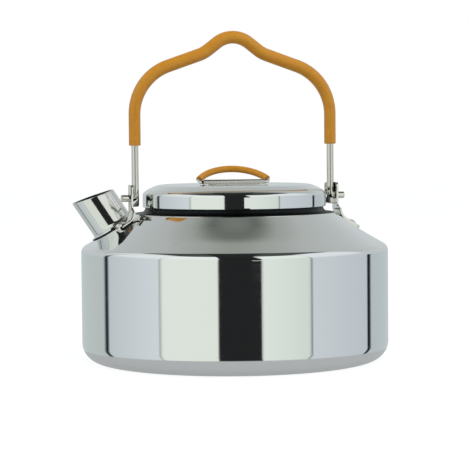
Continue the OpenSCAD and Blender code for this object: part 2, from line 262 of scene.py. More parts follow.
def lofted(
    name: str, rings: Sequence[Sequence[Spot]], sharp: float = CREASE, capped: bool = False
) -> bpy.types.Object:
    """Skins a row of rings that all have the same number of points.

    Args:
        name: Name of the piece.
        rings: Points of each ring, in millimetres.
        sharp: Angle above which an edge is shaded as a crease, in degrees.
        capped: Whether a face closes each end ring, instead of a skin from the last ring to the first.

    Returns:
        The closed solid.
    """
    count = len(rings[0])
    rows = [list(range(k * count, (k + 1) * count)) for k in range(len(rings))]
    following = rows[1:] if capped else rows[1:] + rows[:1]
    faces = [face for a, b in zip(rows, following) for face in joined(a, b)]
    if capped:
        faces += [rows[0], rows[-1]]
    return mesh_object(name, [spot for ring in rings for spot in ring], faces, sharp)


def turned(name: str, outline: Sequence[Point], columns: int) -> bpy.types.Object:
    """Turns a closed outline around the vertical axis.

    Args:
        name: Name of the piece.
        outline: Radius and height of each point, in order round the section.
        columns: Number of steps round the axis.

    Returns:
        The turned shell.
    """
    verts: list[Spot] = []
    rows: list[list[int]] = []
    for radius, height in outline:
        if radius < AXIS_R:
            rows.append([len(verts)] * columns)
            verts.append((0.0, 0.0, height))
        else:
            rows.append(list(range(len(verts), len(verts) + columns)))
            verts += [(radius * x, radius * y, height) for x, y in around(columns)]
    faces: list[list[int]] = []
    for a, b in zip(rows, rows[1:] + rows[:1]):
        if len({*a, *b}) > 2:
            faces += [list(dict.fromkeys(face)) for face in joined(a, b)]
    return mesh_object(name, verts, faces)


def heading(path: Sequence[Vector], index: int, closed: bool) -> Vector:
    """Direction of a path at one of its points.

    Args:
        path: Points of the path.
        index: Number of the point.
        closed: Whether the last point joins the first.

    Returns:
        The direction, of length one.
    """
    last = len(path) - 1
    if closed:
        return (path[(index + 1) % len(path)] - path[index - 1]).normalized()
    return (path[min(index + 1, last)] - path[max(index - 1, 0)]).normalized()


def swept(
    name: str,
    path: Sequence[Vector],
    side: Vector,
    radius: Callable[[float], float],
    bore: float = 0.0,
    sides: int = 40,
    closed: bool = False,
    rounding: float = 0.3,
    sharp: float = 40.0,
    bore_step: int = 4,
) -> bpy.types.Object:
    """Sweeps a round section along a path that lies in one plane.

    Args:
        name: Name of the piece.
        path: Points of the centre line, in millimetres.
        side: Unit vector square to the plane of the path.
        radius: Radius of the section at a distance along the path.
        bore: Radius of the hole along the rod, or zero for a solid one.
        sides: Number of steps round the section.
        closed: Whether the last point joins the first.
        rounding: Radius of the rounded edge at each end.
        sharp: Angle above which an edge is shaded as a crease, in degrees.
        bore_step: Points of the path from one ring of the hole to the next.

    Returns:
        The rod or sleeve.
    """
    length = [0.0]
    for a, b in zip(path, path[1:]):
        length.append(length[-1] + (b - a).length)
    if closed:
        stops = [(i, 0.0, radius(s)) for i, s in enumerate(length)]
    else:
        total = length[-1]
        edge = [(rounding * (1 - sin(a)), rounding * (1 - cos(a))) for a in range(0, 91, EDGE_STEP)]
        stops = [(0, along, radius(0.0) - down) for down, along in edge]
        stops += [(i, 0.0, radius(s)) for i, s in enumerate(length) if rounding < s < total - rounding]
        stops += [(len(path) - 1, -along, radius(total) - down) for down, along in reversed(edge)]
        if bore > 0:
            ends = len(edge)
            hole = [stops[0], *stops[ends:-ends:bore_step], stops[-1]]
            stops += [(i, shift, bore) for i, shift, _ in reversed(hole)]
    rings: list[list[Vector]] = []
    for index, shift, size in stops:
        along = heading(path, index, closed)
        out = side.cross(along).normalized()
        centre = path[index] + along * shift
        rings.append([centre + (out * x + side * y) * size for x, y in around(sides)])
    return lofted(name, rings, sharp, capped=not closed and bore == 0)


def plate(
    name: str, rows: Sequence[tuple[Sequence[Spot], Sequence[Spot]]], sharp: float = CREASE
) -> bpy.types.Object:
    """Closes a bent plate from rows of points on its two faces.

    Args:
        name: Name of the piece.
        rows: Points across the lower and the upper face, row by row along the plate.
        sharp: Angle above which an edge is shaded as a crease, in degrees.

    Returns:
        The plate.
    """
    n = len(rows[0][0])
    faces: list[list[int]] = []
    for a in range(0, 2 * n * (len(rows) - 1), 2 * n):
        b = a + 2 * n
        for k in range(n - 1):
            faces.append([a + k, a + k + 1, b + k + 1, b + k])
            faces.append([a + n + k, b + n + k, b + n + k + 1, a + n + k + 1])
        faces.append([a, b, b + n, a + n])
        faces.append([a + n - 1, a + 2 * n - 1, b + 2 * n - 1, b + n - 1])
    last = 2 * n * (len(rows) - 1)
    for k in range(n - 1):
        faces.append([k, k + n, k + n + 1, k + 1])
        faces.append([last + k, last + k + 1, last + k + n + 1, last + k + n])
    return mesh_object(name, [spot for under, over in rows for spot in (*under, *over)], faces, sharp)


def modified(target: bpy.types.Object, kind: str, **settings: Any) -> None:
    """Puts one modifier on a piece and applies it.

    Args:
        target: Piece that is changed.
        kind: Blender's type name of the modifier.
        settings: Attributes of the modifier.
    """
    change = target.modifiers.new("change", kind)
    for name, value in settings.items():
        setattr(change, name, value)
    bpy.context.view_layer.update()
    graph = bpy.context.evaluated_depsgraph_get()
    mesh = bpy.data.meshes.new_from_object(target.evaluated_get(graph))
    target.modifiers.clear()
    old = target.data
    target.data = mesh
    mesh.name = target.name
    bpy.data.meshes.remove(old)


def carved(target: bpy.types.Object, tool: bpy.types.Object, operation: str) -> None:
    """Applies one boolean to a piece and removes the tool.

    Args:
        target: Piece that is changed.
        tool: Solid that is cut away or added.
        operation: DIFFERENCE or UNION.
    """
    modified(target, "BOOLEAN", object=tool, operation=operation, solver="EXACT")
    bpy.data.objects.remove(tool)


def cylinder(start: Vector, along: Vector, radius: float, length: float, sides: int) -> bpy.types.Object:
    """Makes a plain round cutter.

    Args:
        start: Centre of its first end, in millimetres.
        along: Direction of its axis.
        radius: Its radius in millimetres.
        length: Its length in millimetres.
        sides: Number of its sides.

    Returns:
        The cutter.
    """
    turn = along.to_track_quat("Z", "Y").to_matrix()
    rim = [(radius * x, radius * y) for x, y in around(sides)]
    ends = [[start + turn @ Vector((x, y, h)) for x, y in rim] for h in (0.0, length)]
    return lofted("cutter", ends, capped=True)


@dataclass(frozen=True)
class Finish:
    """A bare surface of one colour and one roughness, to which each kind of finish adds its pattern."""

    name: str
    colour: str
    roughness: float
    haze: float = 0.0
    metallic: float = 1.0
    contrast: tuple[float, float] = (0.3, 0.7)

    def uneven(self, tree: bpy.types.NodeTree, pattern: bpy.types.NodeSocket) -> bpy.types.NodeSocket:
        """Spreads the roughness and its haze over a pattern.

        Args:
            tree: Node tree of the material.
            pattern: Grey pattern of the surface.

        Returns:
            Output socket of the roughness.
        """
        span = dict(enumerate((pattern, *self.contrast, self.roughness, self.roughness + self.haze)))
        return add_node(tree, "ShaderNodeMapRange", span).outputs[0]

    def sockets(self, tree: bpy.types.NodeTree, place: bpy.types.NodeSocket) -> dict[str, Any]:
        """Value or output socket for each input of the shader that the finish sets."""
        return {"Base Color": linear(self.colour), "Metallic": self.metallic, "Roughness": self.roughness}

    def make(self) -> bpy.types.Material:
        """Makes the material.

        Returns:
            The material, with the finish's pattern in its shader.
        """
        material = blank_material(self.name)
        tree = material.node_tree
        place = add_node(tree, "ShaderNodeTexCoord").outputs["Object"]
        shader = add_node(tree, "ShaderNodeBsdfPrincipled", self.sockets(tree, place))
        add_node(tree, "ShaderNodeOutputMaterial", {0: shader.outputs[0]})
        return material


@dataclass(frozen=True)
class PolishedSteel(Finish):
    """Stainless steel sheet, deep drawn and then buffed to a mirror.

    The eye sees the studio in it nearly undimmed. Buffing leaves a trace of haze in faint rings round the
    axis, and pressing leaves waves too long to feel, which bend a reflected edge a little. Real buffing
    rings lie under 0.1 mm apart, too fine to show, so they are drawn 1.1 mm apart.
    """

    name: str = "polished_stainless_steel"
    colour: str = "#E6E9E9"
    roughness: float = 0.035
    haze: float = 0.03
    contrast: tuple[float, float] = (0.35, 0.75)
    ring_mm: float = 1.1
    wave_mm: float = 24.0
    wave_height_mm: float = 0.004

    def sockets(self, tree: bpy.types.NodeTree, place: bpy.types.NodeSocket) -> dict[str, Any]:
        """Adds the buffing rings and the long waves.

        Args:
            tree: Node tree of the material.
            place: Coordinates of the piece.

        Returns:
            Value or output socket for each input of the shader.
        """
        split = add_node(tree, "ShaderNodeSeparateXYZ", {0: place}).outputs
        flat = add_node(tree, "ShaderNodeCombineXYZ", {0: split[0], 1: split[1]})
        radius = add_node(tree, "ShaderNodeVectorMath", {0: flat.outputs[0]}, operation="LENGTH")
        rings = add_node(tree, "ShaderNodeCombineXYZ", {0: radius.outputs["Value"], 2: split[2]})
        buffed = {"Vector": rings.outputs[0], "Scale": 1 / (self.ring_mm * MM), "Detail": 3.0}
        rough = self.uneven(tree, add_node(tree, "ShaderNodeTexNoise", buffed).outputs[0])
        pressed = {"Vector": place, "Scale": 1 / (self.wave_mm * MM), "Detail": 1.0}
        wave = add_node(tree, "ShaderNodeTexNoise", pressed)
        height = {"Height": wave.outputs[0], "Strength": 1.0, "Distance": self.wave_height_mm * MM}
        bump = add_node(tree, "ShaderNodeBump", height)
        return {**super().sockets(tree, place), "Roughness": rough, "Normal": bump.outputs[0]}


@dataclass(frozen=True)
class UnbuffedSteelPaintedShade(Finish):
    """Stainless steel of the neck, drawn and never buffed, whose near-black colour is painted shade for the
    recess under the lid.
    """

    name: str = "unbuffed_steel_painted_shade"
    # Near-black colour: painted shade, not the colour of the steel itself.
    colour: str = "#2E3133"
    roughness: float = 0.42


@dataclass(frozen=True)
class DrawnWire(Finish):
    """Stainless steel wire, drawn through a die and left plain: soft streaks run along it.

    Real die streaks are under 0.1 mm wide, too fine to show, so they are drawn 0.5 mm wide.
    """

    name: str = "drawn_stainless_wire"
    colour: str = "#E4E2DA"
    roughness: float = 0.09
    haze: float = 0.06
    shade: str = "#D6D4CC"
    streak_mm: float = 0.5
    stretch: float = 0.06

    def sockets(self, tree: bpy.types.NodeTree, place: bpy.types.NodeSocket) -> dict[str, Any]:
        """Adds the drawing streaks.

        Args:
            tree: Node tree of the material.
            place: Coordinates of the piece.

        Returns:
            Value or output socket for each input of the shader.
        """
        along = add_node(tree, "ShaderNodeMapping", {"Vector": place, "Scale": (1.0, 1.0, self.stretch)})
        drawn = {"Vector": along.outputs[0], "Scale": 1 / (self.streak_mm * MM), "Detail": 4.0}
        streak = add_node(tree, "ShaderNodeTexNoise", drawn).outputs[0]
        colours = {0: streak, 6: linear(self.shade), 7: linear(self.colour)}
        tint = add_node(tree, "ShaderNodeMix", colours, data_type="RGBA")
        rough = self.uneven(tree, streak)
        return {**super().sockets(tree, place), "Base Color": tint.outputs[2], "Roughness": rough}


@dataclass(frozen=True)
class PressedSteel(Finish):
    """Stainless steel strip, blanked, bent and tumbled: bright, with fine scratches in every direction.

    Real tumbling marks are about 0.1 mm, too fine to show, so they are drawn as a grain of 0.35 mm.
    """

    name: str = "pressed_stainless_strip"
    colour: str = "#E2E1DD"
    roughness: float = 0.05
    haze: float = 0.03
    contrast: tuple[float, float] = (0.35, 0.7)
    grain_mm: float = 0.35

    def sockets(self, tree: bpy.types.NodeTree, place: bpy.types.NodeSocket) -> dict[str, Any]:
        """Adds the tumbling marks.

        Args:
            tree: Node tree of the material.
            place: Coordinates of the piece.

        Returns:
            Value or output socket for each input of the shader.
        """
        tumbled = {"Vector": place, "Scale": 1 / (self.grain_mm * MM), "Detail": 5.0, "Distortion": 1.5}
        grain = add_node(tree, "ShaderNodeTexNoise", tumbled).outputs[0]
        return {**super().sockets(tree, place), "Roughness": self.uneven(tree, grain)}


@dataclass(frozen=True)
class SiliconeSleeve(Finish):
    """Silicone rubber tube, extruded and slid over the wire: satin, with a soft bloom and a little dust.

    Its mottling is a little wider than the tube's radius. Real pores are under 0.1 mm, too fine to show,
    so they are drawn 0.25 mm wide.
    """

    name: str = "extruded_silicone_tube"
    colour: str = "#DE9A2C"
    roughness: float = 0.3
    haze: float = 0.1
    metallic: float = 0.0
    shade: str = "#D08A22"
    ior: float = 1.41
    bloom: float = 0.08
    bloom_roughness: float = 0.5
    mottle_mm: float = 3.2
    pore_mm: float = 0.25
    pore_depth_mm: float = 0.012
    pore_strength: float = 0.25

    def sockets(self, tree: bpy.types.NodeTree, place: bpy.types.NodeSocket) -> dict[str, Any]:
        """Adds the mottling and the fine pores.

        Args:
            tree: Node tree of the material.
            place: Coordinates of the piece.

        Returns:
            Value or output socket for each input of the shader.
        """
        cloudy = {"Vector": place, "Scale": 1 / (self.mottle_mm * MM), "Detail": 2.0}
        mottle = add_node(tree, "ShaderNodeTexNoise", cloudy).outputs[0]
        colours = {0: mottle, 6: linear(self.shade), 7: linear(self.colour)}
        tint = add_node(tree, "ShaderNodeMix", colours, data_type="RGBA")
        pitted = {"Vector": place, "Scale": 1 / (self.pore_mm * MM), "Detail": 3.0}
        pores = add_node(tree, "ShaderNodeTexNoise", pitted)
        depth = self.pore_depth_mm * MM
        pitting = {"Height": pores.outputs[0], "Strength": self.pore_strength, "Distance": depth}
        bump = add_node(tree, "ShaderNodeBump", pitting)
        return {
            **super().sockets(tree, place),
            "Base Color": tint.outputs[2],
            "Roughness": self.uneven(tree, mottle),
            "Normal": bump.outputs[0],
            "IOR": self.ior,
            "Sheen Weight": self.bloom,
            "Sheen Roughness": self.bloom_roughness,
        }


@dataclass
class Finishes:
    """The finishes of the kettle, each made once.

    The spout is buffed less than the sheet round it, and the saddle is tumbled satin below its crown. The
    neck finish's near-black colour is painted shade, laid on the neck under the lid and on the spout's bore,
    lip and flange seam.
    """

    polished: bpy.types.Material = field(default_factory=PolishedSteel().make)
    spout: bpy.types.Material = field(
        default_factory=PolishedSteel("soft_buffed_stainless_steel", "#DCDEDB", 0.08, 0.01).make
    )
    # Near-black finish that paints the shade in the recesses round the neck and the spout.
    neck: bpy.types.Material = field(default_factory=UnbuffedSteelPaintedShade().make)
    wire: bpy.types.Material = field(default_factory=DrawnWire().make)
    pressed: bpy.types.Material = field(default_factory=PressedSteel().make)
    satin: bpy.types.Material = field(
        default_factory=PressedSteel("satin_stainless_strip", "#F4F4F0", 0.42, 0.05).make
    )
    silicone: bpy.types.Material = field(default_factory=SiliconeSleeve().make)

    def of(self, slot: Slot) -> bpy.types.Material:
        """Finish of a material slot.

        Args:
            slot: Material slot of the record.

        Returns:
            The material that the slot's pieces have.
        """
        return {
            Slot.POLISHED_STEEL: self.polished,
            Slot.WIRE_STEEL: self.wire,
            Slot.LUG_STEEL: self.pressed,
            Slot.SLEEVE: self.silicone,
        }[slot]


def settle(piece: bpy.types.Object, body: Body, slot: Slot, finishes: Finishes, node: str) -> None:
    """Puts a finished piece on its body in place of its CAD node.

    Args:
        piece: The piece.
        body: Body that it rides on.
        slot: Material slot that it takes its finish from.
        finishes: The finishes of the kettle.
        node: CAD node that it stands for.
    """
    piece.data.materials.clear()
    piece.data.materials.append(finishes.of(slot))
    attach(piece, body.value)
    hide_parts(node)
    LOG.info("%s: %d faces, rides on %s", piece.name, len(piece.data.polygons), body.value)


def dress_part(
    piece: bpy.types.Object, finish: bpy.types.Material, chosen: Callable[[bpy.types.MeshPolygon], bool]
) -> None:
    """Gives some faces of a piece a second finish.

    Args:
        piece: The piece.
        finish: The second finish.
        chosen: Tells whether a face takes it.
    """
    piece.data.materials.append(finish)
    for face in piece.data.polygons:
        face.material_index = int(chosen(face))


@dataclass
class KettleBody:
    """Body cup and conical shoulder, welded at the top of the wall."""

    body_r: float = 68.8
    sheet: float = 0.6
    wall_top: float = 48.9
    base_corner_r: float = 8.75
    base_rings: tuple[float, ...] = (0.0, 20.0, 40.0)
    edge_r: float = 3.6
    slope: float = 31.0
    flare: tuple[Point, ...] = ((68.0, 29.5), (61.0, 30.0), (57.0, 33.0), (50.0, 35.5), (43.0, 35.5))
    flare_step: float = 0.4
    crown_r: float = 1.0
    ledge_w: float = 0.15
    neck_r: float = 39.8
    neck_fillet_r: float = 3.0
    neck_h: float = 9.33
    bead_r: float = 0.8
    bead_end: float = 335.0
    bead_drop: float = 0.5
    bead_step: float = 12.0
    # Distance below the ledge from which the neck takes the painted shade.
    painted_shade_drop: float = 0.25
    columns: int = 360

    def __post_init__(self) -> None:
        """Derives the meeting points of the shoulder outline."""
        self.edge_c = (self.body_r - self.edge_r, self.wall_top)
        self.edge_end = on_round(self.edge_c, self.edge_r, self.slope)
        start_x = self.neck_r + self.neck_fillet_r + self.ledge_w + self.crown_r * sin(self.slope)
        self.ledge_z = self.cone_z(start_x) + self.crown_r * (1 - cos(self.slope))
        self.fillet_c = (self.neck_r + self.neck_fillet_r, self.ledge_z + self.neck_fillet_r)
        self.bead_c = (self.neck_r - self.bead_r, self.ledge_z + self.neck_h - self.bead_r)
        self.face = self.shoulder_line(0)

    def cone_z(self, radius: float) -> float:
        """Height of the straight cone that the shoulder follows, at a radius."""
        return self.edge_end[1] + (self.edge_end[0] - radius) * tan(self.slope)

    def slope_at(self, radius: float) -> float:
        """Slope of the shoulder's slightly flared face.

        Args:
            radius: Distance from the axis.

        Returns:
            The slope, in degrees.
        """
        for (r0, s0), (r1, s1) in zip(self.flare, self.flare[1:]):
            if radius >= r1:
                return s1 + (s0 - s1) * (radius - r1) / (r0 - r1)
        return self.flare[-1][1]

    def surface_z(self, radius: float) -> float:
        """Height of the shoulder's outer face outside the neck.

        Args:
            radius: Distance from the axis.

        Returns:
            The height.
        """
        for a, b in zip(self.face, self.face[1:]):
            if b[0] <= radius <= a[0] and a[0] > b[0]:
                return a[1] + (b[1] - a[1]) * (a[0] - radius) / (a[0] - b[0])
        return self.ledge_z

    def shoulder_line(self, inset: float) -> list[Point]:
        """Outline of the shoulder from the wall to the neck.

        Args:
            inset: Distance that the outline is moved inwards, through the sheet.

        Returns:
            The points of the outline.
        """
        slope = self.slope_at(self.edge_end[0])
        radius, height = on_round(self.edge_c, self.edge_r, slope)
        line = arc(self.edge_c, self.edge_r - inset, 0, 90 - slope, 2.0)
        while height < self.ledge_z - self.crown_r * (1 - cos(slope)):
            height += self.flare_step * tan(self.slope_at(radius - self.flare_step / 2))
            radius -= self.flare_step
            slope = self.slope_at(radius)
            line.append(on_round((radius, height), -inset, slope))
        crown = on_round((radius, height), -self.crown_r, slope)
        rise = self.ledge_z - crown[1] - self.crown_r
        return [
            *line[:-1],
            *arc((crown[0], crown[1] + rise), self.crown_r - inset, 90 - slope, 90, 6.0),
            *arc(self.fillet_c, self.neck_fillet_r + inset, 270, 180, 4.0),
        ]

    def cup(self) -> bpy.types.Object:
        """Builds the cup with its rounded base edge.

        Returns:
            The cup shell.
        """
        centre = (self.body_r - self.base_corner_r, self.base_corner_r)
        outer = [(r, 0.0) for r in self.base_rings] + arc(centre, self.base_corner_r, 270, 360, 2.0)
        inner = arc(centre, self.base_corner_r - self.sheet, 360, 270, 4.0)
        inner += [(r, self.sheet) for r in reversed(self.base_rings)]
        outer = guarded([*outer, (self.body_r, self.wall_top)])
        inner = guarded([(self.body_r - self.sheet, self.wall_top), *inner])
        return turned("body_cup_shell", [*outer, *inner], self.columns)

    def shoulder(self, cutters: Sequence[bpy.types.Object]) -> bpy.types.Object:
        """Builds the shoulder with its neck, its rolled rim and its holes.

        Args:
            cutters: Solids to cut away for the spout and the rivets.

        Returns:
            The shoulder shell.
        """
        rim = arc(self.bead_c, self.bead_r, 0, self.bead_end, self.bead_step)
        outer = guarded([*self.shoulder_line(0), (self.neck_r, self.bead_c[1])])
        neck_inside = (self.neck_r - self.sheet, self.bead_c[1] - self.bead_drop)
        inner = guarded([neck_inside, *reversed(self.shoulder_line(self.sheet))])
        shell = turned("shoulder_shell", [*outer, *rim[1:], *inner], self.columns)
        for cutter in cutters:
            carved(shell, cutter, "DIFFERENCE")
        smoothed(shell, CREASE)
        return shell

    def build(self, finishes: Finishes, cutters: Sequence[bpy.types.Object]) -> None:
        """Builds and dresses the cup and the shoulder, with painted shade on the neck under the lid.

        Args:
            finishes: The finishes of the kettle.
            cutters: Solids to cut away from the shoulder.
        """
        settle(self.cup(), Body.KETTLE, Slot.POLISHED_STEEL, finishes, "body_cup")
        shoulder = self.shoulder(cutters)
        settle(shoulder, Body.KETTLE, Slot.POLISHED_STEEL, finishes, "shoulder")
        # Painted shade: faces round the neck, under the lid's band, take the near-black finish.
        painted_shade_z = (self.ledge_z - self.painted_shade_drop) * MM
        dress_part(shoulder, finishes.neck, lambda face: face.center.z > painted_shade_z)


@dataclass
class Spout:
    """Short leaning spout tube with the flange that it is welded on by."""

    body: KettleBody
    tube_r: float = 9.45
    wall: float = 0.6
    length: float = 17.0
    lean: float = 33.5
    slant: float = 14.5
    foot_x: float = 54.2
    flange_r: float = 10.95
    flange_t: float = 0.8
    flange_rim: float = 0.2
    blend_start: float = 258.0
    blend_step: float = 6.0
    rear_rise: float = 0.45
    seam: float = 0.55
    sink: float = 0.35
    bore_drop: float = 0.3
    cut_depth: float = 8.0
    cut_length: float = 16.0
    cut_sides: int = 128
    search: tuple[float, float] = (-6.0, 4.0)
    search_steps: int = 40
    # Rings at the inside of the lip that take the painted shade.
    painted_shade_lip_rings: int = 3
    crease: float = 40.0
    outer_shares: tuple[float, ...] = (0.03, 0.25, 0.5, 0.75, 0.97)
    inner_shares: tuple[float, ...] = (0.97, 0.6, 0.3, 0.03)
    columns: int = 160

    def place(self, point: Spot) -> Vector:
        """Turns a point of the spout's own frame into the kettle's frame."""
        turn = Matrix.Rotation(math.radians(-self.lean), 3, "Y")
        return turn @ Vector(point) + Vector((-self.foot_x, 0, self.body.cone_z(self.foot_x)))

    def cutter(self) -> bpy.types.Object:
        """Makes the solid that bores the shoulder under the spout.

        Returns:
            The cutter.
        """
        along = self.place((0, 0, 1)) - self.place((0, 0, 0))
        start = self.place((0, 0, -self.cut_depth))
        return cylinder(start, along, self.tube_r - self.wall, self.cut_length, self.cut_sides)

    def landing(self, radius: float, angle: float) -> float:
        """Finds where a line of the spout's wall meets the shoulder.

        Args:
            radius: Radius of the wall.
            angle: Place round the spout, in radians.

        Returns:
            Height along the spout.
        """
        low, high = self.search
        for _ in range(self.search_steps):
            mid = (low + high) / 2
            p = self.place((radius * math.cos(angle), radius * math.sin(angle), mid))
            if p.z > self.body.surface_z(math.hypot(p.x, p.y)):
                high = mid
            else:
                low = mid
        return (low + high) / 2

    def mouth(self, radius: float, angle: float) -> float:
        """Height of the slanted mouth, less its lip's rounding, at a place in radians round the spout."""
        tilt = self.rear_rise * math.sin(angle) * radius / self.tube_r
        return self.length - radius * math.cos(angle) * tan(self.slant) - self.wall / 2 + tilt

    def ring(self, radius: float, height: Callable[[float], float]) -> list[Vector]:
        """Makes one ring of points whose height varies round the spout.

        Args:
            radius: Radius of the ring.
            height: Height along the spout at a place in radians round it.

        Returns:
            The points.
        """
        turns = [math.tau * k / self.columns for k in range(self.columns)]
        return [self.place((radius * math.cos(a), radius * math.sin(a), height(a))) for a in turns]

    def build(self, finishes: Finishes) -> None:
        """Builds and dresses the spout, with painted shade on its bore, the inside of its lip and the seam
        under the flange.

        Args:
            finishes: The finishes of the kettle.
        """
        tube, bore, outer, half = self.tube_r, self.tube_r - self.wall, self.flange_r, self.wall / 2
        fillet, inner_edge = outer - self.tube_r, outer - self.flange_rim
        base = self.flange_t + fillet
        edge = arc((inner_edge, self.flange_t - self.flange_rim), self.flange_rim, 0, 90, EDGE_STEP)
        hollow = arc((outer, base), fillet, self.blend_start, 180, self.blend_step)
        blend = [(min(r, inner_edge), z) for r, z in hollow]
        lip = arc((self.tube_r - half, 0.0), half, 0, 180, EDGE_STEP)
        rings = [
            self.ring(outer, lambda a: self.landing(outer, a) - self.sink),
            self.ring(outer, lambda a: self.landing(outer, a) + self.seam),
            *[self.ring(r, lambda _a, z=z: z) for r, z in (*edge, *blend)],
        ]
        for share in self.outer_shares:
            rings.append(self.ring(tube, lambda a: base + share * (self.mouth(tube, a) - base)))
        for r, z in lip:
            rings.append(self.ring(r, lambda a: self.mouth(r, a) + z))
        # Painted shade starts at the inside of the lip and runs down the bore.
        painted_shade_from = len(rings) - self.painted_shade_lip_rings
        drop = self.bore_drop
        for share in self.inner_shares:
            rings.append(self.ring(bore, lambda a: share * (self.mouth(bore, a) + drop) - drop))
        rings.append(self.ring(bore, lambda a: self.landing(bore, a) - self.sink))
        piece = lofted("spout_tube", rings, self.crease)
        settle(piece, Body.KETTLE, Slot.POLISHED_STEEL, finishes, "spout")
        piece.data.materials[0] = finishes.spout
        # Painted shade: the seam under the flange and the inside of lip and bore take the near-black finish.
        painted_shade_start = painted_shade_from * self.columns
        dress_part(piece, finishes.neck, lambda face: not self.columns <= face.index < painted_shade_start)


@dataclass
class Lugs:
    """Two pressed lugs, mirror images of each other, with two rivets each."""

    body: KettleBody
    turn: float = 14.0
    leg_u: float = 45.1
    wire_r: float = 1.55
    pivot_z: float = 73.3
    sheet: float = 0.9
    web_gap: float = 0.25
    pin_gap: float = 0.08
    rise: float = 5.9
    web_front: float = 4.0
    web_low: float = 2.5
    top_steps: tuple[float, ...] = (0.0, 0.15, 0.5, 1.0, 1.5, 2.0)
    stop_gap: float = 0.35
    wing_depth: float = 3.8
    wing_drop: float = 3.9
    wing_corner: float = 1.0
    weld: float = 0.01
    bend_r: float = 5.0
    bend_step: int = 6
    bend_rate: float = 1.6
    foot_front: float = 9.0
    foot_rear: float = 1.5
    foot_len: tuple[float, float] = (7.5, 5.4)
    foot_corner: float = 1.6
    foot_rear_share: float = 0.6
    foot_shares: tuple[float, ...] = (0.0, 0.2, 0.5, 0.75, 0.85, 0.93, 0.98, 1.0)
    landing_start: float = 0.5
    landing_gap: float = 0.02
    landing_max: float = 1.4
    flare: float = 3.5
    flare_rows: int = 8
    corner: float = 2.0
    across: int = 10
    edge_round: float = 0.16
    edge_from: float = 38.0
    shade_sharp: float = 50.0
    rivet_r: float = 1.2
    rivet_gap: float = 0.05
    drill_reach: float = 4.0
    drill_len: float = 6.0
    drill_sides: int = 32
    hole_reach: float = 2.0
    hole_sides: int = 48
    head_r: float = 2.2
    head_h: float = 0.95
    head_edge: float = 0.1
    head_columns: int = 48
    tail_reach: float = 0.25
    tail_share: float = 0.84
    pitch: float = 5.3

    def __post_init__(self) -> None:
        """Derives the bend between the web and the foot."""
        self.web_in = self.leg_u + self.wire_r + self.web_gap
        self.web_out = self.web_in + self.sheet
        slope = self.body.slope
        bend_u = self.web_out + self.bend_r
        self.bend_c = (bend_u, self.body.cone_z(bend_u) + (self.bend_r + self.sheet) / cos(slope))
        self.foot_u = bend_u - (self.bend_r + self.sheet) * sin(slope)
        self.wing_v = self.wire_r + self.stop_gap
        self.web_rear = self.wing_v + self.sheet
        self.top = self.pivot_z + self.rise

    def place(self, side: int, u: float, v: float, z: float) -> Vector:
        """Turns a point of the bail plane into the kettle's frame.

        Args:
            side: One for the lug opposite the spout, minus one for the lug beside it.
            u: Distance from the axis along the bail plane.
            v: Distance behind the bail plane.
            z: Height.

        Returns:
            The point in the kettle's frame.
        """
        return Matrix.Rotation(math.radians(self.turn), 3, "Z") @ Vector((side * u, v, z))

    def length(self, side: int) -> float:
        """Length of a lug's foot."""
        return self.foot_len[0 if side > 0 else 1]

    def rivet_frames(self, side: int) -> list[tuple[Vector, Vector]]:
        """Finds the places of both rivets of a lug.

        Args:
            side: One for the lug opposite the spout, minus one for the lug beside it.

        Returns:
            Foot point on the cone and upward direction of each rivet, the front one first.
        """
        slope = self.body.slope
        u = self.foot_u + self.length(side) / 2 * cos(slope)
        made = []
        for which in (-0.5, 0.5):
            v = (self.foot_rear - self.foot_front) / 2 + which * self.pitch
            start = self.place(side, u, v, self.body.cone_z(u))
            tip = self.place(side, u + sin(slope), v, self.body.cone_z(u) + cos(slope))
            made.append((start, (tip - start).normalized()))
        return made

    def cutters(self) -> list[bpy.types.Object]:
        """Makes the solids that drill the rivet holes in the shoulder.

        Returns:
            One cutter for each rivet.
        """
        radius = self.rivet_r + self.rivet_gap
        return [
            cylinder(start - along * self.drill_reach, along, radius, self.drill_len, self.drill_sides)
            for side in (1, -1)
            for start, along in self.rivet_frames(side)
        ]

    def web_rows(self) -> list[Row]:
        """Lays out the upright web, which widens forwards down to the bend.

        Returns:
            Inner and outer point, front and rear edge of each row.
        """
        bend_z, flare_z = self.bend_c[1], self.pivot_z - self.flare
        bottom = self.pivot_z - self.web_low
        step = (bottom - bend_z) / self.flare_rows
        heights = [*[self.top - drop for drop in self.top_steps], self.pivot_z, bottom]
        heights += [bottom - step * (k + 1) for k in range(self.flare_rows)]
        rows: list[Row] = []
        for z in heights:
            widened = min(1.0, max(0.0, (flare_z - z) / (flare_z - bend_z))) ** 3
            front = corner_cut(self.corner, z - self.top + self.corner) - self.web_front
            front -= (self.foot_front - self.web_front) * widened
            rows.append(((self.web_in, z), (self.web_out, z), front, self.web_rear))
        return rows

    def bend_rows(self) -> list[Row]:
        """Lays out the bend from the web to the foot.

        Returns:
            Inner and outer point, front and rear edge of each row.
        """
        full = 90 - self.body.slope
        radii = (self.bend_r + self.sheet, self.bend_r)
        rows: list[Row] = []
        for a in range(self.bend_step, int(full) + 1, self.bend_step):
            inner, outer = (on_round(self.bend_c, -r, 90 - a) for r in radii)
            share = min(1.0, a / full * self.bend_rate)
            rear = self.web_rear + (self.foot_rear - self.web_rear) * share
            rows.append((inner, outer, -self.foot_front, rear))
        return rows

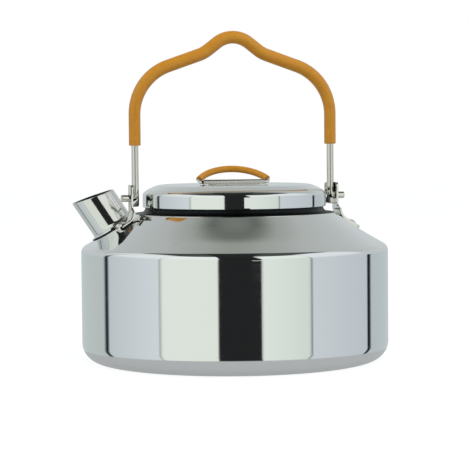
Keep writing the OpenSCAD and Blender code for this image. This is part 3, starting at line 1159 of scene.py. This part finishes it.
    def foot_rows(self, length: float) -> list[Row]:
        """Lays out the foot on the shoulder, with its rounded corners.

        Args:
            length: Length of the foot down the slope.

        Returns:
            Inner and outer point, front and rear edge of each row.
        """
        slope = self.body.slope
        start = on_round(self.bend_c, -self.bend_r, slope)
        rows: list[Row] = []
        for share in self.foot_shares:
            run = length * share
            outer = (start[0] + cos(slope) * run, start[1] - sin(slope) * run)
            cut = corner_cut(self.foot_corner, run - length + self.foot_corner)
            front, rear = cut - self.foot_front, self.foot_rear - cut * self.foot_rear_share
            rows.append((on_round(outer, -self.sheet, slope), outer, front, rear))
        return rows

    def landed(self, u: float, v: float, z: float) -> float:
        """Lets a point under the foot down on to the shoulder.

        Args:
            u: Distance of the point from the axis along the bail plane.
            v: Distance of the point behind the bail plane.
            z: Height of the flat underside.

        Returns:
            Height of the point on the shoulder.
        """
        if u <= self.foot_u - self.landing_start:
            return z
        return max(z - self.landing_max, min(z, self.body.surface_z(math.hypot(u, v)) - self.landing_gap))

    def strip(self, side: int, name: str) -> bpy.types.Object:
        """Builds the bent strip of a lug: web, bend and foot.

        Args:
            side: One for the lug opposite the spout, minus one for the lug beside it.
            name: Name of the piece.

        Returns:
            The strip, with its underside lying on the shoulder.
        """
        rows = []
        for (in_u, in_z), (out_u, out_z), front, rear in (
            *self.web_rows(),
            *self.bend_rows(),
            *self.foot_rows(self.length(side)),
        ):
            widths = [front + (rear - front) * k / self.across for k in range(self.across + 1)]
            under = [self.place(side, in_u, v, self.landed(in_u, v, in_z)) for v in widths]
            rows.append((under, [self.place(side, out_u, v, out_z) for v in widths]))
        return plate(name, rows)

    def wing(self, side: int) -> bpy.types.Object:
        """Builds the stop wing behind the upright bail.

        Args:
            side: One for the lug opposite the spout, minus one for the lug beside it.

        Returns:
            The wing, a hair smaller than the strip where they join.
        """
        high_u, low_u = self.web_out - self.weld, self.web_in - self.wing_depth
        high_z, low_z = self.top - self.weld, self.pivot_z - self.wing_drop
        r = self.wing_corner
        outline = [
            (high_u, low_z),
            (high_u, high_z),
            *arc((low_u + r, high_z - r), r, 90, 180, EDGE_STEP),
            *arc((low_u + r, low_z + r), r, 180, 270, EDGE_STEP),
        ]
        depths = (self.wing_v, self.web_rear - self.weld)
        ends = [[self.place(side, u, v, z) for u, z in outline] for v in depths]
        return lofted("wing", ends, capped=True)

    def rivet(self, name: str, start: Vector, along: Vector) -> bpy.types.Object:
        """Builds one set rivet.

        Args:
            name: Name of the piece.
            start: Point on the cone under the middle of its head.
            along: Direction of its axis.

        Returns:
            The rivet.
        """
        dome = (self.head_r**2 + self.head_h**2) / (2 * self.head_h)
        reach = math.degrees(math.asin(self.head_r / dome))
        tail_r, tail_z = self.head_r * self.tail_share, -self.body.sheet - self.tail_reach
        outline = [
            *arc((0.0, self.sheet + self.head_h - dome), dome, 90, 90 - reach, 4),
            (self.head_r - self.head_edge, self.sheet),
            (self.rivet_r, self.sheet),
            (self.rivet_r, tail_z),
            (tail_r, tail_z),
            (tail_r, tail_z - self.head_h / 2),
            (0.0, tail_z - self.head_h / 2),
        ]
        made = turned(name, outline, self.head_columns)
        turn = along.to_track_quat("Z", "Y").to_matrix().to_4x4()
        made.data.transform(Matrix.Translation(start * MM) @ turn)
        return made

    def build(self, finishes: Finishes) -> None:
        """Builds and dresses both lugs and their rivets.

        Args:
            finishes: The finishes of the kettle.
        """
        for side, word in ((1, "right"), (-1, "left")):
            strip = self.strip(side, f"lug_{word}_plate")
            carved(strip, self.wing(side), "UNION")
            start = self.place(side, self.web_in - self.hole_reach, 0, self.pivot_z)
            reach = self.sheet + 2 * self.hole_reach
            along, radius = self.place(side, 1, 0, 0), self.wire_r + self.pin_gap
            carved(strip, cylinder(start, along, radius, reach, self.hole_sides), "DIFFERENCE")
            modified(
                strip,
                "BEVEL",
                width=self.edge_round * MM,
                segments=3,
                limit_method="ANGLE",
                angle_limit=math.radians(self.edge_from),
                harden_normals=False,
            )
            smoothed(strip, self.shade_sharp)
            settle(strip, Body.KETTLE, Slot.LUG_STEEL, finishes, f"lug_{word}")
            for which, (start, along) in zip(("front", "rear"), self.rivet_frames(side)):
                rivet = self.rivet(f"rivet_{word}_{which}_head", start, along)
                settle(rivet, Body.KETTLE, Slot.LUG_STEEL, finishes, f"rivet_{word}_{which}")


@dataclass
class Bail:
    """Bent wire bail with a pin at each foot and a silicone sleeve over its upper part."""

    lugs: Lugs
    pin_bend_r: float = 1.75
    pin_len: float = 4.7
    pin_steps: int = 6
    pin_bend_step: float = 7.5
    pin_round: float = 0.4
    leg_h: float = 36.9
    leg_step: float = 1.2
    corner_r: float = 22.8
    bar_slope: float = 19.2
    hump_h: float = 71.3
    hump_r: float = 12.0
    hump_slope: float = 37.6
    hollow_r: float = 15.0
    arc_step: float = 2.5
    even_step: float = 1.3
    sleeve_start: float = 23.3
    sleeve_bore: float = 1.6
    sleeve_leg_r: float = 2.62
    sleeve_top_r: float = 2.85
    sleeve_round: float = 0.35
    sleeve_sides: int = 48
    swell_start: float = 12.0
    swell_len: float = 22.0

    def arch(self) -> list[Point]:
        """Centre line of one half, from the top of its leg to the top of the hump.

        Returns:
            Distance along the bail plane and height of each point.
        """
        z0 = self.lugs.pivot_z
        corner = (self.lugs.leg_u - self.corner_r, z0 + self.leg_h)
        hump = (0.0, z0 + self.hump_h - self.hump_r)
        bar_u, bar_z = on_round(corner, self.corner_r, self.bar_slope)
        hump_u, hump_z = on_round(hump, self.hump_r, self.hump_slope)
        steep, easy = tan(self.hump_slope), tan(self.bar_slope)
        meet_u = (hump_z - bar_z + hump_u * steep - bar_u * easy) / (steep - easy)
        meet_z = hump_z - (meet_u - hump_u) * steep
        run = self.hollow_r * tan((self.hump_slope - self.bar_slope) / 2)
        end = (meet_u - run * cos(self.hump_slope), meet_z + run * sin(self.hump_slope))
        hollow = on_round(end, self.hollow_r, self.hump_slope)
        return [
            *arc(corner, self.corner_r, 0, 90 - self.bar_slope, self.arc_step),
            *arc(hollow, self.hollow_r, 270 - self.bar_slope, 270 - self.hump_slope, self.arc_step),
            *arc(hump, self.hump_r, 90 - self.hump_slope, 90, self.arc_step),
        ]

    def pin(self) -> list[Point]:
        """Centre line of one pin and of the bend that joins it to the leg.

        Returns:
            Distance along the bail plane and height of each point.
        """
        bend_u, z0 = self.lugs.leg_u + self.pin_bend_r, self.lugs.pivot_z
        straight = [(bend_u + self.pin_len * (1 - k / self.pin_steps), z0) for k in range(self.pin_steps)]
        bend = arc((bend_u, z0 + self.pin_bend_r), self.pin_bend_r, 270, 180, self.pin_bend_step)
        return straight + bend

    def path(self, start: Sequence[Point], start_z: float) -> list[Vector]:
        """Lays out the whole centre line, evenly stepped.

        Args:
            start: Points before the leg.
            start_z: Height above the pivot at which the leg starts.

        Returns:
            The points in the kettle's frame.
        """
        u, z0 = self.lugs.leg_u, self.lugs.pivot_z
        rest = self.leg_h - start_z
        count = max(2, round(rest / self.leg_step))
        leg = [(u, z0 + start_z + rest * k / count) for k in range(1 if start else 0, count)]
        right = [*start, *leg, *self.arch()]
        line = [*right, *[(-u, z) for u, z in right[-2::-1]]]
        even: list[Point] = [line[0]]
        for a, b in zip(line, line[1:]):
            count = max(1, math.ceil(math.dist(a, b) / self.even_step))
            shares = [k / count for k in range(1, count + 1)]
            even += [(a[0] + (b[0] - a[0]) * s, a[1] + (b[1] - a[1]) * s) for s in shares]
        return [self.lugs.place(1, u, 0, z) for u, z in even]

    def sleeve_radius(self, along: float, total: float) -> float:
        """Radius of the sleeve, which swells a little over the crossbar.

        Args:
            along: Distance from one end of the sleeve.
            total: Length of the sleeve.

        Returns:
            The radius.
        """
        share = min(1.0, max(0.0, (min(along, total - along) - self.swell_start) / self.swell_len))
        return self.sleeve_leg_r + (self.sleeve_top_r - self.sleeve_leg_r) * share * share * (3 - 2 * share)

    def build(self, finishes: Finishes) -> None:
        """Builds and dresses the wire and its sleeve.

        Args:
            finishes: The finishes of the kettle.
        """
        side = self.lugs.place(1, 0, 1, 0)
        whole = self.path(self.pin(), self.pin_bend_r)
        wire = swept("bail_wire_rod", whole, side, lambda _s: self.lugs.wire_r, rounding=self.pin_round)
        settle(wire, Body.BAIL, Slot.WIRE_STEEL, finishes, "bail_wire")
        path = self.path([], self.sleeve_start)
        total = sum((b - a).length for a, b in zip(path, path[1:]))
        sleeve = swept(
            "bail_sleeve_tube",
            path,
            side,
            lambda s: self.sleeve_radius(s, total),
            bore=self.sleeve_bore,
            sides=self.sleeve_sides,
            rounding=self.sleeve_round,
        )
        settle(sleeve, Body.BAIL, Slot.SLEEVE, finishes, "bail_sleeve")


@dataclass
class Lid:
    """Drawn lid whose band hangs round the neck, with the saddle that holds its ring.

    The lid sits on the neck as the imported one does. Its sloped face is flatter and rounds off towards the
    band, as the reflections in the photograph show.
    """

    body: KettleBody
    sheet: float = 0.6
    gap: float = 0.7
    band_gap: float = 2.65
    corner_r: float = 1.8
    slope: float = 32.0
    face_slope: float = 24.0
    face_rise: float = 0.3
    face_corner_r: float = 2.0
    face_round_r: float = 9.0
    face_round_end: float = 42.0
    flat_r: float = 33.2
    blend_r: float = 8.0
    face_step: float = 1.5
    seat_gap: float = 0.15
    top_rings: tuple[float, ...] = (20.0, 8.0, 0.0)
    under_rings: tuple[float, ...] = (0.0, 20.0)
    columns: int = 320
    turn: float = 8.0
    bar_rise: float = 1.05
    channel_r: float = 0.85
    channel_fillet: float = 0.35
    channel_step: float = 10.0
    under_rows: int = 5
    saddle_t: float = 0.3
    saddle_w: float = 11.0
    saddle_half: float = 13.6
    saddle_corner: float = 1.5
    edge_steps: tuple[float, ...] = (0.0, 0.2, 0.5, 0.9)
    foot_w: float = 0.6
    across: int = 8
    crown_share: float = 0.3
    saddle_crease: float = 35.0

    def __post_init__(self) -> None:
        """Derives the lid's seat on the neck, its flat top and its rounded face."""
        self.band_in = self.body.neck_r + self.gap
        self.band_r = self.band_in + self.sheet
        bead_x, bead_z = self.body.bead_c
        x = self.band_r - self.corner_r
        seat = (self.corner_r - self.sheet) / cos(self.slope) - (bead_x - x) * tan(self.slope)
        z = bead_z + (self.body.bead_r + self.seat_gap) / cos(self.slope) - seat
        start_x, start_z = on_round((x, z), self.corner_r, self.slope)
        end_x = self.flat_r + self.blend_r * sin(self.slope)
        self.top = start_z + (start_x - end_x) * tan(self.slope) + self.blend_r * (1 - cos(self.slope))
        edge_x, edge_z = on_round((x, z + self.face_rise), self.corner_r, self.face_slope)
        step = self.face_round_r - self.face_corner_r
        round_x = self.band_r - self.face_corner_r - step * sin(self.face_round_end)
        round_z = edge_z + (edge_x - round_x) * tan(self.face_slope)
        self.round_c = (round_x, round_z - self.face_round_r / cos(self.face_slope))
        self.corner_c = on_round(self.round_c, step, self.face_round_end)
        meet = edge_x - (self.top - edge_z) / tan(self.face_slope)
        self.blend_c = (meet - self.blend_r * tan(self.face_slope / 2), self.top - self.blend_r)
        self.ring_z = self.top + self.bar_rise

    def line(self, inset: float) -> list[Point]:
        """Outline from the band to the flat top.

        Args:
            inset: Distance that the outline is moved inwards, through the sheet.

        Returns:
            The points of the outline.
        """
        low, high = 90 - self.face_round_end, 90 - self.face_slope
        return [
            *arc(self.corner_c, self.face_corner_r - inset, 0, low),
            *arc(self.round_c, self.face_round_r - inset, low, high, self.face_step),
            *arc(self.blend_c, self.blend_r - inset, high, 90, self.face_step),
        ]

    def shell(self) -> bpy.types.Object:
        """Builds the lid shell with its rounded lower edge.

        Returns:
            The shell.
        """
        half = self.sheet / 2
        low = self.body.ledge_z + self.band_gap
        lip = arc((self.band_in + half, low + half), half, 180, 360, EDGE_STEP)
        outer = guarded([lip[-1], *self.line(0), *[(r, self.top) for r in self.top_rings]])
        under = [(r, self.top - self.sheet) for r in self.under_rings]
        inner = guarded([*under, *reversed(self.line(self.sheet)), lip[0]])
        return turned("lid_shell_cap", [*outer, *inner, *lip[1:-1]], self.columns)

    def place(self, x: float, y: float, z: float) -> Vector:
        """Turns a point of the ring's own frame into the kettle's frame."""
        turn = Matrix.Rotation(math.radians(self.turn), 3, "Z")
        return turn @ Vector((x, y, z)) + Vector((0, 0, self.ring_z))

    def saddle(self) -> bpy.types.Object:
        """Builds the saddle: a plate with a half-round channel over the ring's bar.

        Returns:
            The saddle.
        """
        t, r, fillet = self.saddle_t, self.channel_r, self.channel_fillet
        half, floor, foot = self.saddle_w / 2, -self.bar_rise, r + t + fillet
        flat = [*[half - step for step in (*self.edge_steps, self.saddle_corner)], foot + self.foot_w, foot]
        side = [((y, floor), (y, floor + t)) for y in flat]
        for k, (y, z) in enumerate(arc((foot, floor + t + fillet), fillet, 270, 180, EDGE_STEP)):
            side.append(((r, floor if k < self.under_rows else z), (y, z)))
        side += zip(*[arc((0.0, 0.0), size, 0, 90, self.channel_step) for size in (r, r + t)])
        other = [((-inner[0], inner[1]), (-outer[0], outer[1])) for inner, outer in side[-2::-1]]
        rows = []
        for inner, outer in (*side, *other):
            past = abs(outer[0]) - half + self.saddle_corner
            reach = self.saddle_half - corner_cut(self.saddle_corner, past)
            width = [reach * (2 * k / self.across - 1) for k in range(self.across + 1)]
            rows.append(([self.place(x, *inner) for x in width], [self.place(x, *outer) for x in width]))
        return plate("lid_saddle_plate", rows, self.saddle_crease)

    def build(self, finishes: Finishes) -> None:
        """Builds and dresses the lid and its saddle, which is polished on the crown only.

        Args:
            finishes: The finishes of the kettle.
        """
        settle(self.shell(), Body.LID, Slot.POLISHED_STEEL, finishes, "lid_shell")
        saddle = self.saddle()
        settle(saddle, Body.LID, Slot.LUG_STEEL, finishes, "lid_saddle")
        crown_z = (self.ring_z + self.crown_share * (self.channel_r + self.saddle_t)) * MM
        dress_part(saddle, finishes.satin, lambda face: face.center.z < crown_z)


@dataclass
class LidRing:
    """Bent wire ring leaning in the saddle, with a sleeve over its arch."""

    lid: Lid
    wire_r: float = 0.8
    width: float = 31.4
    height: float = 11.6
    bend_r: float = 1.6
    lean: float = 61.0
    bar_steps: int = 20
    bend_step: float = 8.0
    arch_step: float = 2.0
    wire_sides: int = 32
    sleeve_r: float = 1.5
    sleeve_round: float = 0.2
    sleeve_sides: int = 36
    bore: float = 0.85

    def __post_init__(self) -> None:
        """Derives the arch from the ring's width and height."""
        self.bar_half = self.width / 2 - self.bend_r
        self.arch_r = (self.bar_half**2 / (self.height - 2 * self.bend_r) + self.height) / 2
        self.arch_h = self.height - self.arch_r
        self.arch_deg = math.degrees(math.atan2(self.bend_r - self.arch_h, self.bar_half))

    def place(self, x: float, h: float) -> Vector:
        """Turns a point of the leaning ring's plane into the kettle's frame."""
        return self.lid.place(x, h * sin(self.lean), h * cos(self.lean))

    def build(self, finishes: Finishes) -> None:
        """Builds and dresses the ring and its sleeve.

        Args:
            finishes: The finishes of the kettle.
        """
        half, bend = self.bar_half, self.bend_r
        side = (self.lid.place(0, cos(self.lean), -sin(self.lean)) - self.lid.place(0, 0, 0)).normalized()
        arch = arc((0.0, self.arch_h), self.arch_r, self.arch_deg, 180 - self.arch_deg, self.arch_step)
        right = arc((half, bend), bend, -90, self.arch_deg, self.bend_step)
        left = arc((-half, bend), bend, 180 - self.arch_deg, 270, self.bend_step)
        bar = [(half * (2 * k / self.bar_steps - 1), 0.0) for k in range(1, self.bar_steps)]
        loop = [self.place(*p) for p in [*right, *arch[1:-1], *left, *bar]]
        wire = swept(
            "lid_ring_rod", loop, side, lambda _s: self.wire_r, sides=self.wire_sides, closed=True
        )
        settle(wire, Body.LID_RING, Slot.WIRE_STEEL, finishes, "lid_ring_wire")
        path = [self.place(*p) for p in arch]
        sleeve = swept(
            "lid_ring_tube",
            path,
            side,
            lambda _s: self.sleeve_r,
            bore=self.bore,
            sides=self.sleeve_sides,
            rounding=self.sleeve_round,
        )
        settle(sleeve, Body.LID_RING, Slot.SLEEVE, finishes, "lid_ring_sleeve")


@dataclass(frozen=True)
class Card:
    """One card of the tent round the kettle, by its compass angle from the camera towards +X."""

    name: str
    start: float
    end: float
    left: str
    right: str


@dataclass(frozen=True)
class Wash:
    """One colour washed over the tent where all its soft steps are passed.

    Each step names what it measures, the value at which it starts and the value at which it is complete.
    Without a colour, the wash shows the backdrop.
    """

    name: str
    colour: str | None
    share: float
    steps: tuple[tuple[str, float, float], ...]


@dataclass
class Studio:
    """White ground, a tent of cards that the steel mirrors, and the camera of the photograph.

    The colours of the cards are those that they have in the steel, which dims them by its own gain.
    """

    camera_distance: float = 830.0
    camera_height: float = 101.0
    camera_x: float = 0.25
    camera_roll: float = -0.49
    aim_z: float = 56.0
    focal_px: float = 1848.0
    image_px: float = 470.0
    sensor_mm: float = 36.0
    clip_m: tuple[float, float] = (0.01, 20.0)
    tent_r: float = 4000.0
    tent_z: float = 60.0
    steel_gain: float = 0.81
    table_r: float = 74.0
    table_edge: float = 5.0
    table_squeeze: float = 0.91
    table_glow: float = 0.38
    table_colour: str = "#75787A"
    floor_glow: float = 0.9
    floor_half: float = 3000.0
    floor_drop: float = 0.02
    lamp_place: tuple[float, float, float] = (150.0, -450.0, 950.0)
    lamp_aim_z: float = 80.0
    lamp_size: float = 800.0
    lamp_watts: float = 4.0
    cards: tuple[Card, ...] = (
        Card("rear left", -180.0, -113.0, "#B5BDBF", "#B3BAB8"),
        Card("left slit", -110.4, -107.6, "#1C1E20", "#1C1E20"),
        Card("side left", -105.8, -57.0, "#BAC0C4", "#CDD2D5"),
        Card("left seam", -56.2, -55.4, "#A0A49E", "#A0A49E"),
        Card("front left", -54.6, -12.4, "#DDE1DA", "#DCE1D8"),
        Card("camera opening", -11.2, 18.6, "#1E2124", "#232A2D"),
        Card("front right", 20.2, 56.2, "#DCE0DA", "#CDD5CE"),
        Card("right seam", 56.6, 57.4, "#34383A", "#34383A"),
        Card("side right", 58.2, 114.2, "#C7CBCF", "#B9BEC4"),
        Card("right slit", 115.2, 118.4, "#1C1F23", "#1C1F23"),
        Card("rear right", 120.6, 180.0, "#B2B9BD", "#B5BDBF"),
    )
    backdrop: tuple[tuple[float, str], ...] = (
        (0.0, "#BABEBF"),
        (16.0, "#BEC2C3"),
        (34.0, "#B3B7B7"),
        (52.0, "#ABAEAC"),
        (60.0, "#9DA09C"),
        (66.0, "#949791"),
        (71.0, "#868984"),
        (74.5, "#9A9D97"),
    )
    backdrop_edge: tuple[float, float, float] = (-1.58, 4.0, -1.0)
    opening_w: tuple[float, float] = (0.325, 0.18)
    opening_z: tuple[float, float] = (0.2, 0.9)
    washes: tuple[Wash, ...] = (
        Wash("paler cards above", "#F2F4F2", 0.5, (("z", 0.1, 0.5),)),
        Wash("backdrop behind the kettle", None, 1.0, (("behind", -0.08, -0.06), ("z", 0.02, 0.06))),
        Wash(
            "shade high on the backdrop",
            "#484C48",
            0.6,
            (("behind", -0.08, -0.06), ("lift", 0.68, 0.79), ("wide", 0.42, 0.12)),
        ),
        Wash(
            "dark room over the camera",
            "#222223",
            1.0,
            (("x", -0.2, -0.18), ("opening", -0.01, 0.01), ("behind", -0.06, -0.08)),
        ),
        Wash(
            "card beside the camera",
            "#DCE0DA",
            1.0,
            (("z", -0.058, -0.045), ("z", 0.03, 0.0), ("x", 0.21, 0.22), ("x", 0.36, 0.34), ("y", 0.1, -0.1)),
        ),
        Wash(
            "dark gap overhead",
            "#262826",
            0.94,
            (("behind", 0.0, -0.05), ("z", 0.76, 0.82), ("wide", 0.58, 0.46)),
        ),
    )

    def camera(self) -> None:
        """Makes the camera at the photograph's viewing angle."""
        data = bpy.data.cameras.new("camera")
        data.sensor_width = self.sensor_mm
        data.lens = self.focal_px / self.image_px * self.sensor_mm
        data.clip_start, data.clip_end = self.clip_m
        made = bpy.data.objects.new("camera", data)
        made.location = Vector((self.camera_x, -self.camera_distance, self.camera_height)) * MM
        drop = math.atan2(self.camera_height - self.aim_z, self.camera_distance)
        made.rotation_euler = (math.pi / 2 - drop, 0, 0)
        made.rotation_euler.rotate_axis("Z", math.radians(self.camera_roll))
        bpy.context.scene.collection.objects.link(made)
        bpy.context.scene.camera = made

    def world(self) -> None:
        """Makes the white ground behind everything."""
        world = bpy.data.worlds.new("white_ground")
        world.use_nodes = True
        bpy.context.scene.world = world
        tree = world.node_tree
        tree.nodes.clear()
        light = add_node(tree, "ShaderNodeBackground", {0: linear("#FFFFFF"), 1: 1.0})
        add_node(tree, "ShaderNodeOutputWorld", {0: light.outputs[0]})

    @staticmethod
    def fill(ramp: bpy.types.ColorRamp, stops: Sequence[tuple[float, str]]) -> None:
        """Writes the stops of a colour ramp.

        Args:
            ramp: Ramp with the two stops that it is made with.
            stops: Position and sRGB colour of each stop, in order.
        """
        ramp.elements.remove(ramp.elements[1])
        for k, (position, colour) in enumerate(stops):
            stop = ramp.elements[0] if k == 0 else ramp.elements.new(position)
            stop.position = position
            stop.color = linear(colour)

    def measures(self, tree: bpy.types.NodeTree) -> dict[str, bpy.types.NodeSocket]:
        """Works out what the washes and the ramps go by, from the direction of a point of the tent.

        Args:
            tree: Node tree of the tent's paint.

        Returns:
            Output socket of each measure: x, y and z of the direction, its width to either side, its lift
            as a share of a right angle, how far it is behind the front edge of the backdrop, how far it is
            inside the camera's opening, and its compass share from the rear through the camera's side.
        """
        place = add_node(tree, "ShaderNodeTexCoord")
        unit = add_node(tree, "ShaderNodeVectorMath", {0: place.outputs["Object"]}, operation="NORMALIZE")
        x, y, z = add_node(tree, "ShaderNodeSeparateXYZ", {0: unit.outputs[0]}).outputs
        wide = add_node(tree, "ShaderNodeMath", {0: x}, operation="ABSOLUTE").outputs[0]
        either = add_node(tree, "ShaderNodeCombineXYZ", {0: wide, 1: y, 2: z}).outputs[0]
        edge = {0: either, 1: self.backdrop_edge}
        behind = add_node(tree, "ShaderNodeVectorMath", edge, operation="DOT_PRODUCT").outputs["Value"]
        height = add_node(tree, "ShaderNodeMath", {0: z}, operation="ARCSINE").outputs[0]
        lift = add_node(tree, "ShaderNodeMath", {0: height, 1: math.pi / 2}, operation="DIVIDE").outputs[0]
        taper = dict(enumerate((z, *self.opening_z, *self.opening_w)))
        reach = add_node(tree, "ShaderNodeMapRange", taper, interpolation_type="SMOOTHSTEP").outputs[0]
        opening = add_node(tree, "ShaderNodeMath", {0: reach, 1: x}, operation="SUBTRACT").outputs[0]
        front = add_node(tree, "ShaderNodeMath", {0: y, 1: -1.0}, operation="MULTIPLY").outputs[0]
        angle = add_node(tree, "ShaderNodeMath", {0: x, 1: front}, operation="ARCTAN2").outputs[0]
        compass = add_node(tree, "ShaderNodeMapRange", {0: angle, 1: -math.pi, 2: math.pi}).outputs[0]
        return {
            "x": x,
            "y": y,
            "z": z,
            "wide": wide,
            "lift": lift,
            "behind": behind,
            "opening": opening,
            "compass": compass,
        }

    def tent_paint(self) -> bpy.types.Material:
        """Makes the glow of the tent: cards all round, a backdrop behind and a dark gap overhead.

        Returns:
            The material of the tent.
        """
        material = blank_material("tent_of_cards")
        tree = material.node_tree
        by = self.measures(tree)
        cards = add_node(tree, "ShaderNodeValToRGB", {0: by["compass"]})
        edges = [(card.start, card.left) for card in self.cards]
        edges += [(card.end, card.right) for card in self.cards]
        self.fill(cards.color_ramp, [((angle + 180) / 360, colour) for angle, colour in sorted(edges)])
        rear = add_node(tree, "ShaderNodeValToRGB", {0: by["lift"]})
        self.fill(rear.color_ramp, [(angle / 90, colour) for angle, colour in self.backdrop])
        shown = cards.outputs[0]
        for wash in self.washes:
            mask: Any = wash.share
            for measure, start, end in wash.steps:
                span = {0: by[measure], 1: start, 2: end}
                step = add_node(tree, "ShaderNodeMapRange", span, interpolation_type="SMOOTHSTEP")
                both = {0: step.outputs[0], 1: mask}
                mask = add_node(tree, "ShaderNodeMath", both, operation="MULTIPLY").outputs[0]
            colour = linear(wash.colour) if wash.colour else rear.outputs[0]
            washed = {0: mask, 6: shown, 7: colour}
            shown = add_node(tree, "ShaderNodeMix", washed, data_type="RGBA").outputs[2]
        glow = add_node(tree, "ShaderNodeEmission", {0: shown, 1: 1 / self.steel_gain})
        add_node(tree, "ShaderNodeOutputMaterial", {0: glow.outputs[0]})
        return material

    def tent(self) -> None:
        """Puts up the tent, which the steel sees and the camera doesn't."""
        mesh = bpy.data.meshes.new("tent")
        bm = bmesh.new()
        bmesh.ops.create_icosphere(bm, subdivisions=5, radius=self.tent_r * MM)
        bm.to_mesh(mesh)
        bm.free()
        mesh.materials.append(self.tent_paint())
        made = bpy.data.objects.new("tent", mesh)
        made.location.z = self.tent_z * MM
        made.visible_camera = False
        made.visible_shadow = False
        bpy.context.scene.collection.objects.link(made)

    def floor_paint(self) -> bpy.types.Material:
        """Makes the white of the floor, of which steel sees only the small table that the kettle stands on.

        Returns:
            The material of the floor.
        """
        material = blank_material("white_floor")
        tree = material.node_tree
        place = add_node(tree, "ShaderNodeTexCoord")
        squeezed = {"Vector": place.outputs["Object"], "Scale": (1.0, self.table_squeeze, 1.0)}
        oval = add_node(tree, "ShaderNodeMapping", squeezed)
        far = add_node(tree, "ShaderNodeVectorMath", {0: oval.outputs[0]}, operation="LENGTH")
        edge = {0: far.outputs["Value"], 1: self.table_r * MM, 2: (self.table_r + self.table_edge) * MM}
        beyond = add_node(tree, "ShaderNodeMapRange", edge, interpolation_type="SMOOTHSTEP")
        ray = add_node(tree, "ShaderNodeLightPath")
        mirrored = {0: beyond.outputs[0], 1: ray.outputs["Is Glossy Ray"]}
        hidden = add_node(tree, "ShaderNodeMath", mirrored, operation="MULTIPLY")
        seen = {0: ray.outputs["Is Camera Ray"], 3: self.table_glow, 4: self.floor_glow}
        level = add_node(tree, "ShaderNodeMapRange", seen)
        paint = add_node(tree, "ShaderNodeBsdfDiffuse", {0: linear(self.table_colour)})
        glow = add_node(tree, "ShaderNodeEmission", {0: linear("#FFFFFF"), 1: level.outputs[0]})
        lit = add_node(tree, "ShaderNodeAddShader", {0: paint.outputs[0], 1: glow.outputs[0]})
        clear = add_node(tree, "ShaderNodeBsdfTransparent")
        parts = {0: hidden.outputs[0], 1: lit.outputs[0], 2: clear.outputs[0]}
        mixed = add_node(tree, "ShaderNodeMixShader", parts)
        add_node(tree, "ShaderNodeOutputMaterial", {0: mixed.outputs[0]})
        return material

    def floor(self) -> None:
        """Lays the floor just under the kettle."""
        half = self.floor_half
        ends = [(-half, -half, 0), (half, -half, 0), (half, half, 0), (-half, half, 0)]
        made = mesh_object("floor", ends, [range(4)])
        made.location.z = -self.floor_drop * MM
        made.data.materials.append(self.floor_paint())

    def lamp(self) -> None:
        """Adds one large soft lamp over the kettle for the sleeve's shape."""
        data = bpy.data.lights.new("soft_top", "AREA")
        data.shape = "SQUARE"
        data.size = self.lamp_size * MM
        data.energy = self.lamp_watts
        made = bpy.data.objects.new("soft_top", data)
        made.location = Vector(self.lamp_place) * MM
        aim = Vector((0, 0, self.lamp_aim_z)) * MM - made.location
        made.rotation_euler = aim.to_track_quat("-Z", "Y").to_euler()
        made.visible_glossy = False
        bpy.context.scene.collection.objects.link(made)

    def build(self) -> None:
        """Builds the camera, the ground, the tent, the floor and the lamp."""
        self.camera()
        self.world()
        self.tent()
        self.floor()
        self.lamp()
        bpy.context.scene.view_settings.view_transform = "Standard"
        LOG.info("studio cards: %s", ", ".join(card.name for card in self.cards))
        LOG.info("studio washes: %s", ", ".join(wash.name for wash in self.washes))


def main() -> None:
    """Builds the kettle and its studio in order."""
    logging.basicConfig(level=logging.INFO, format="%(name)s: %(message)s")
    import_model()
    Studio().build()
    finishes = Finishes()
    body = KettleBody()
    spout = Spout(body)
    lugs = Lugs(body)
    body.build(finishes, [spout.cutter(), *lugs.cutters()])
    spout.build(finishes)
    lugs.build(finishes)
    Bail(lugs).build(finishes)
    lid = Lid(body)
    lid.build(finishes)
    LidRing(lid).build(finishes)


if __name__ == "__main__":
    main()
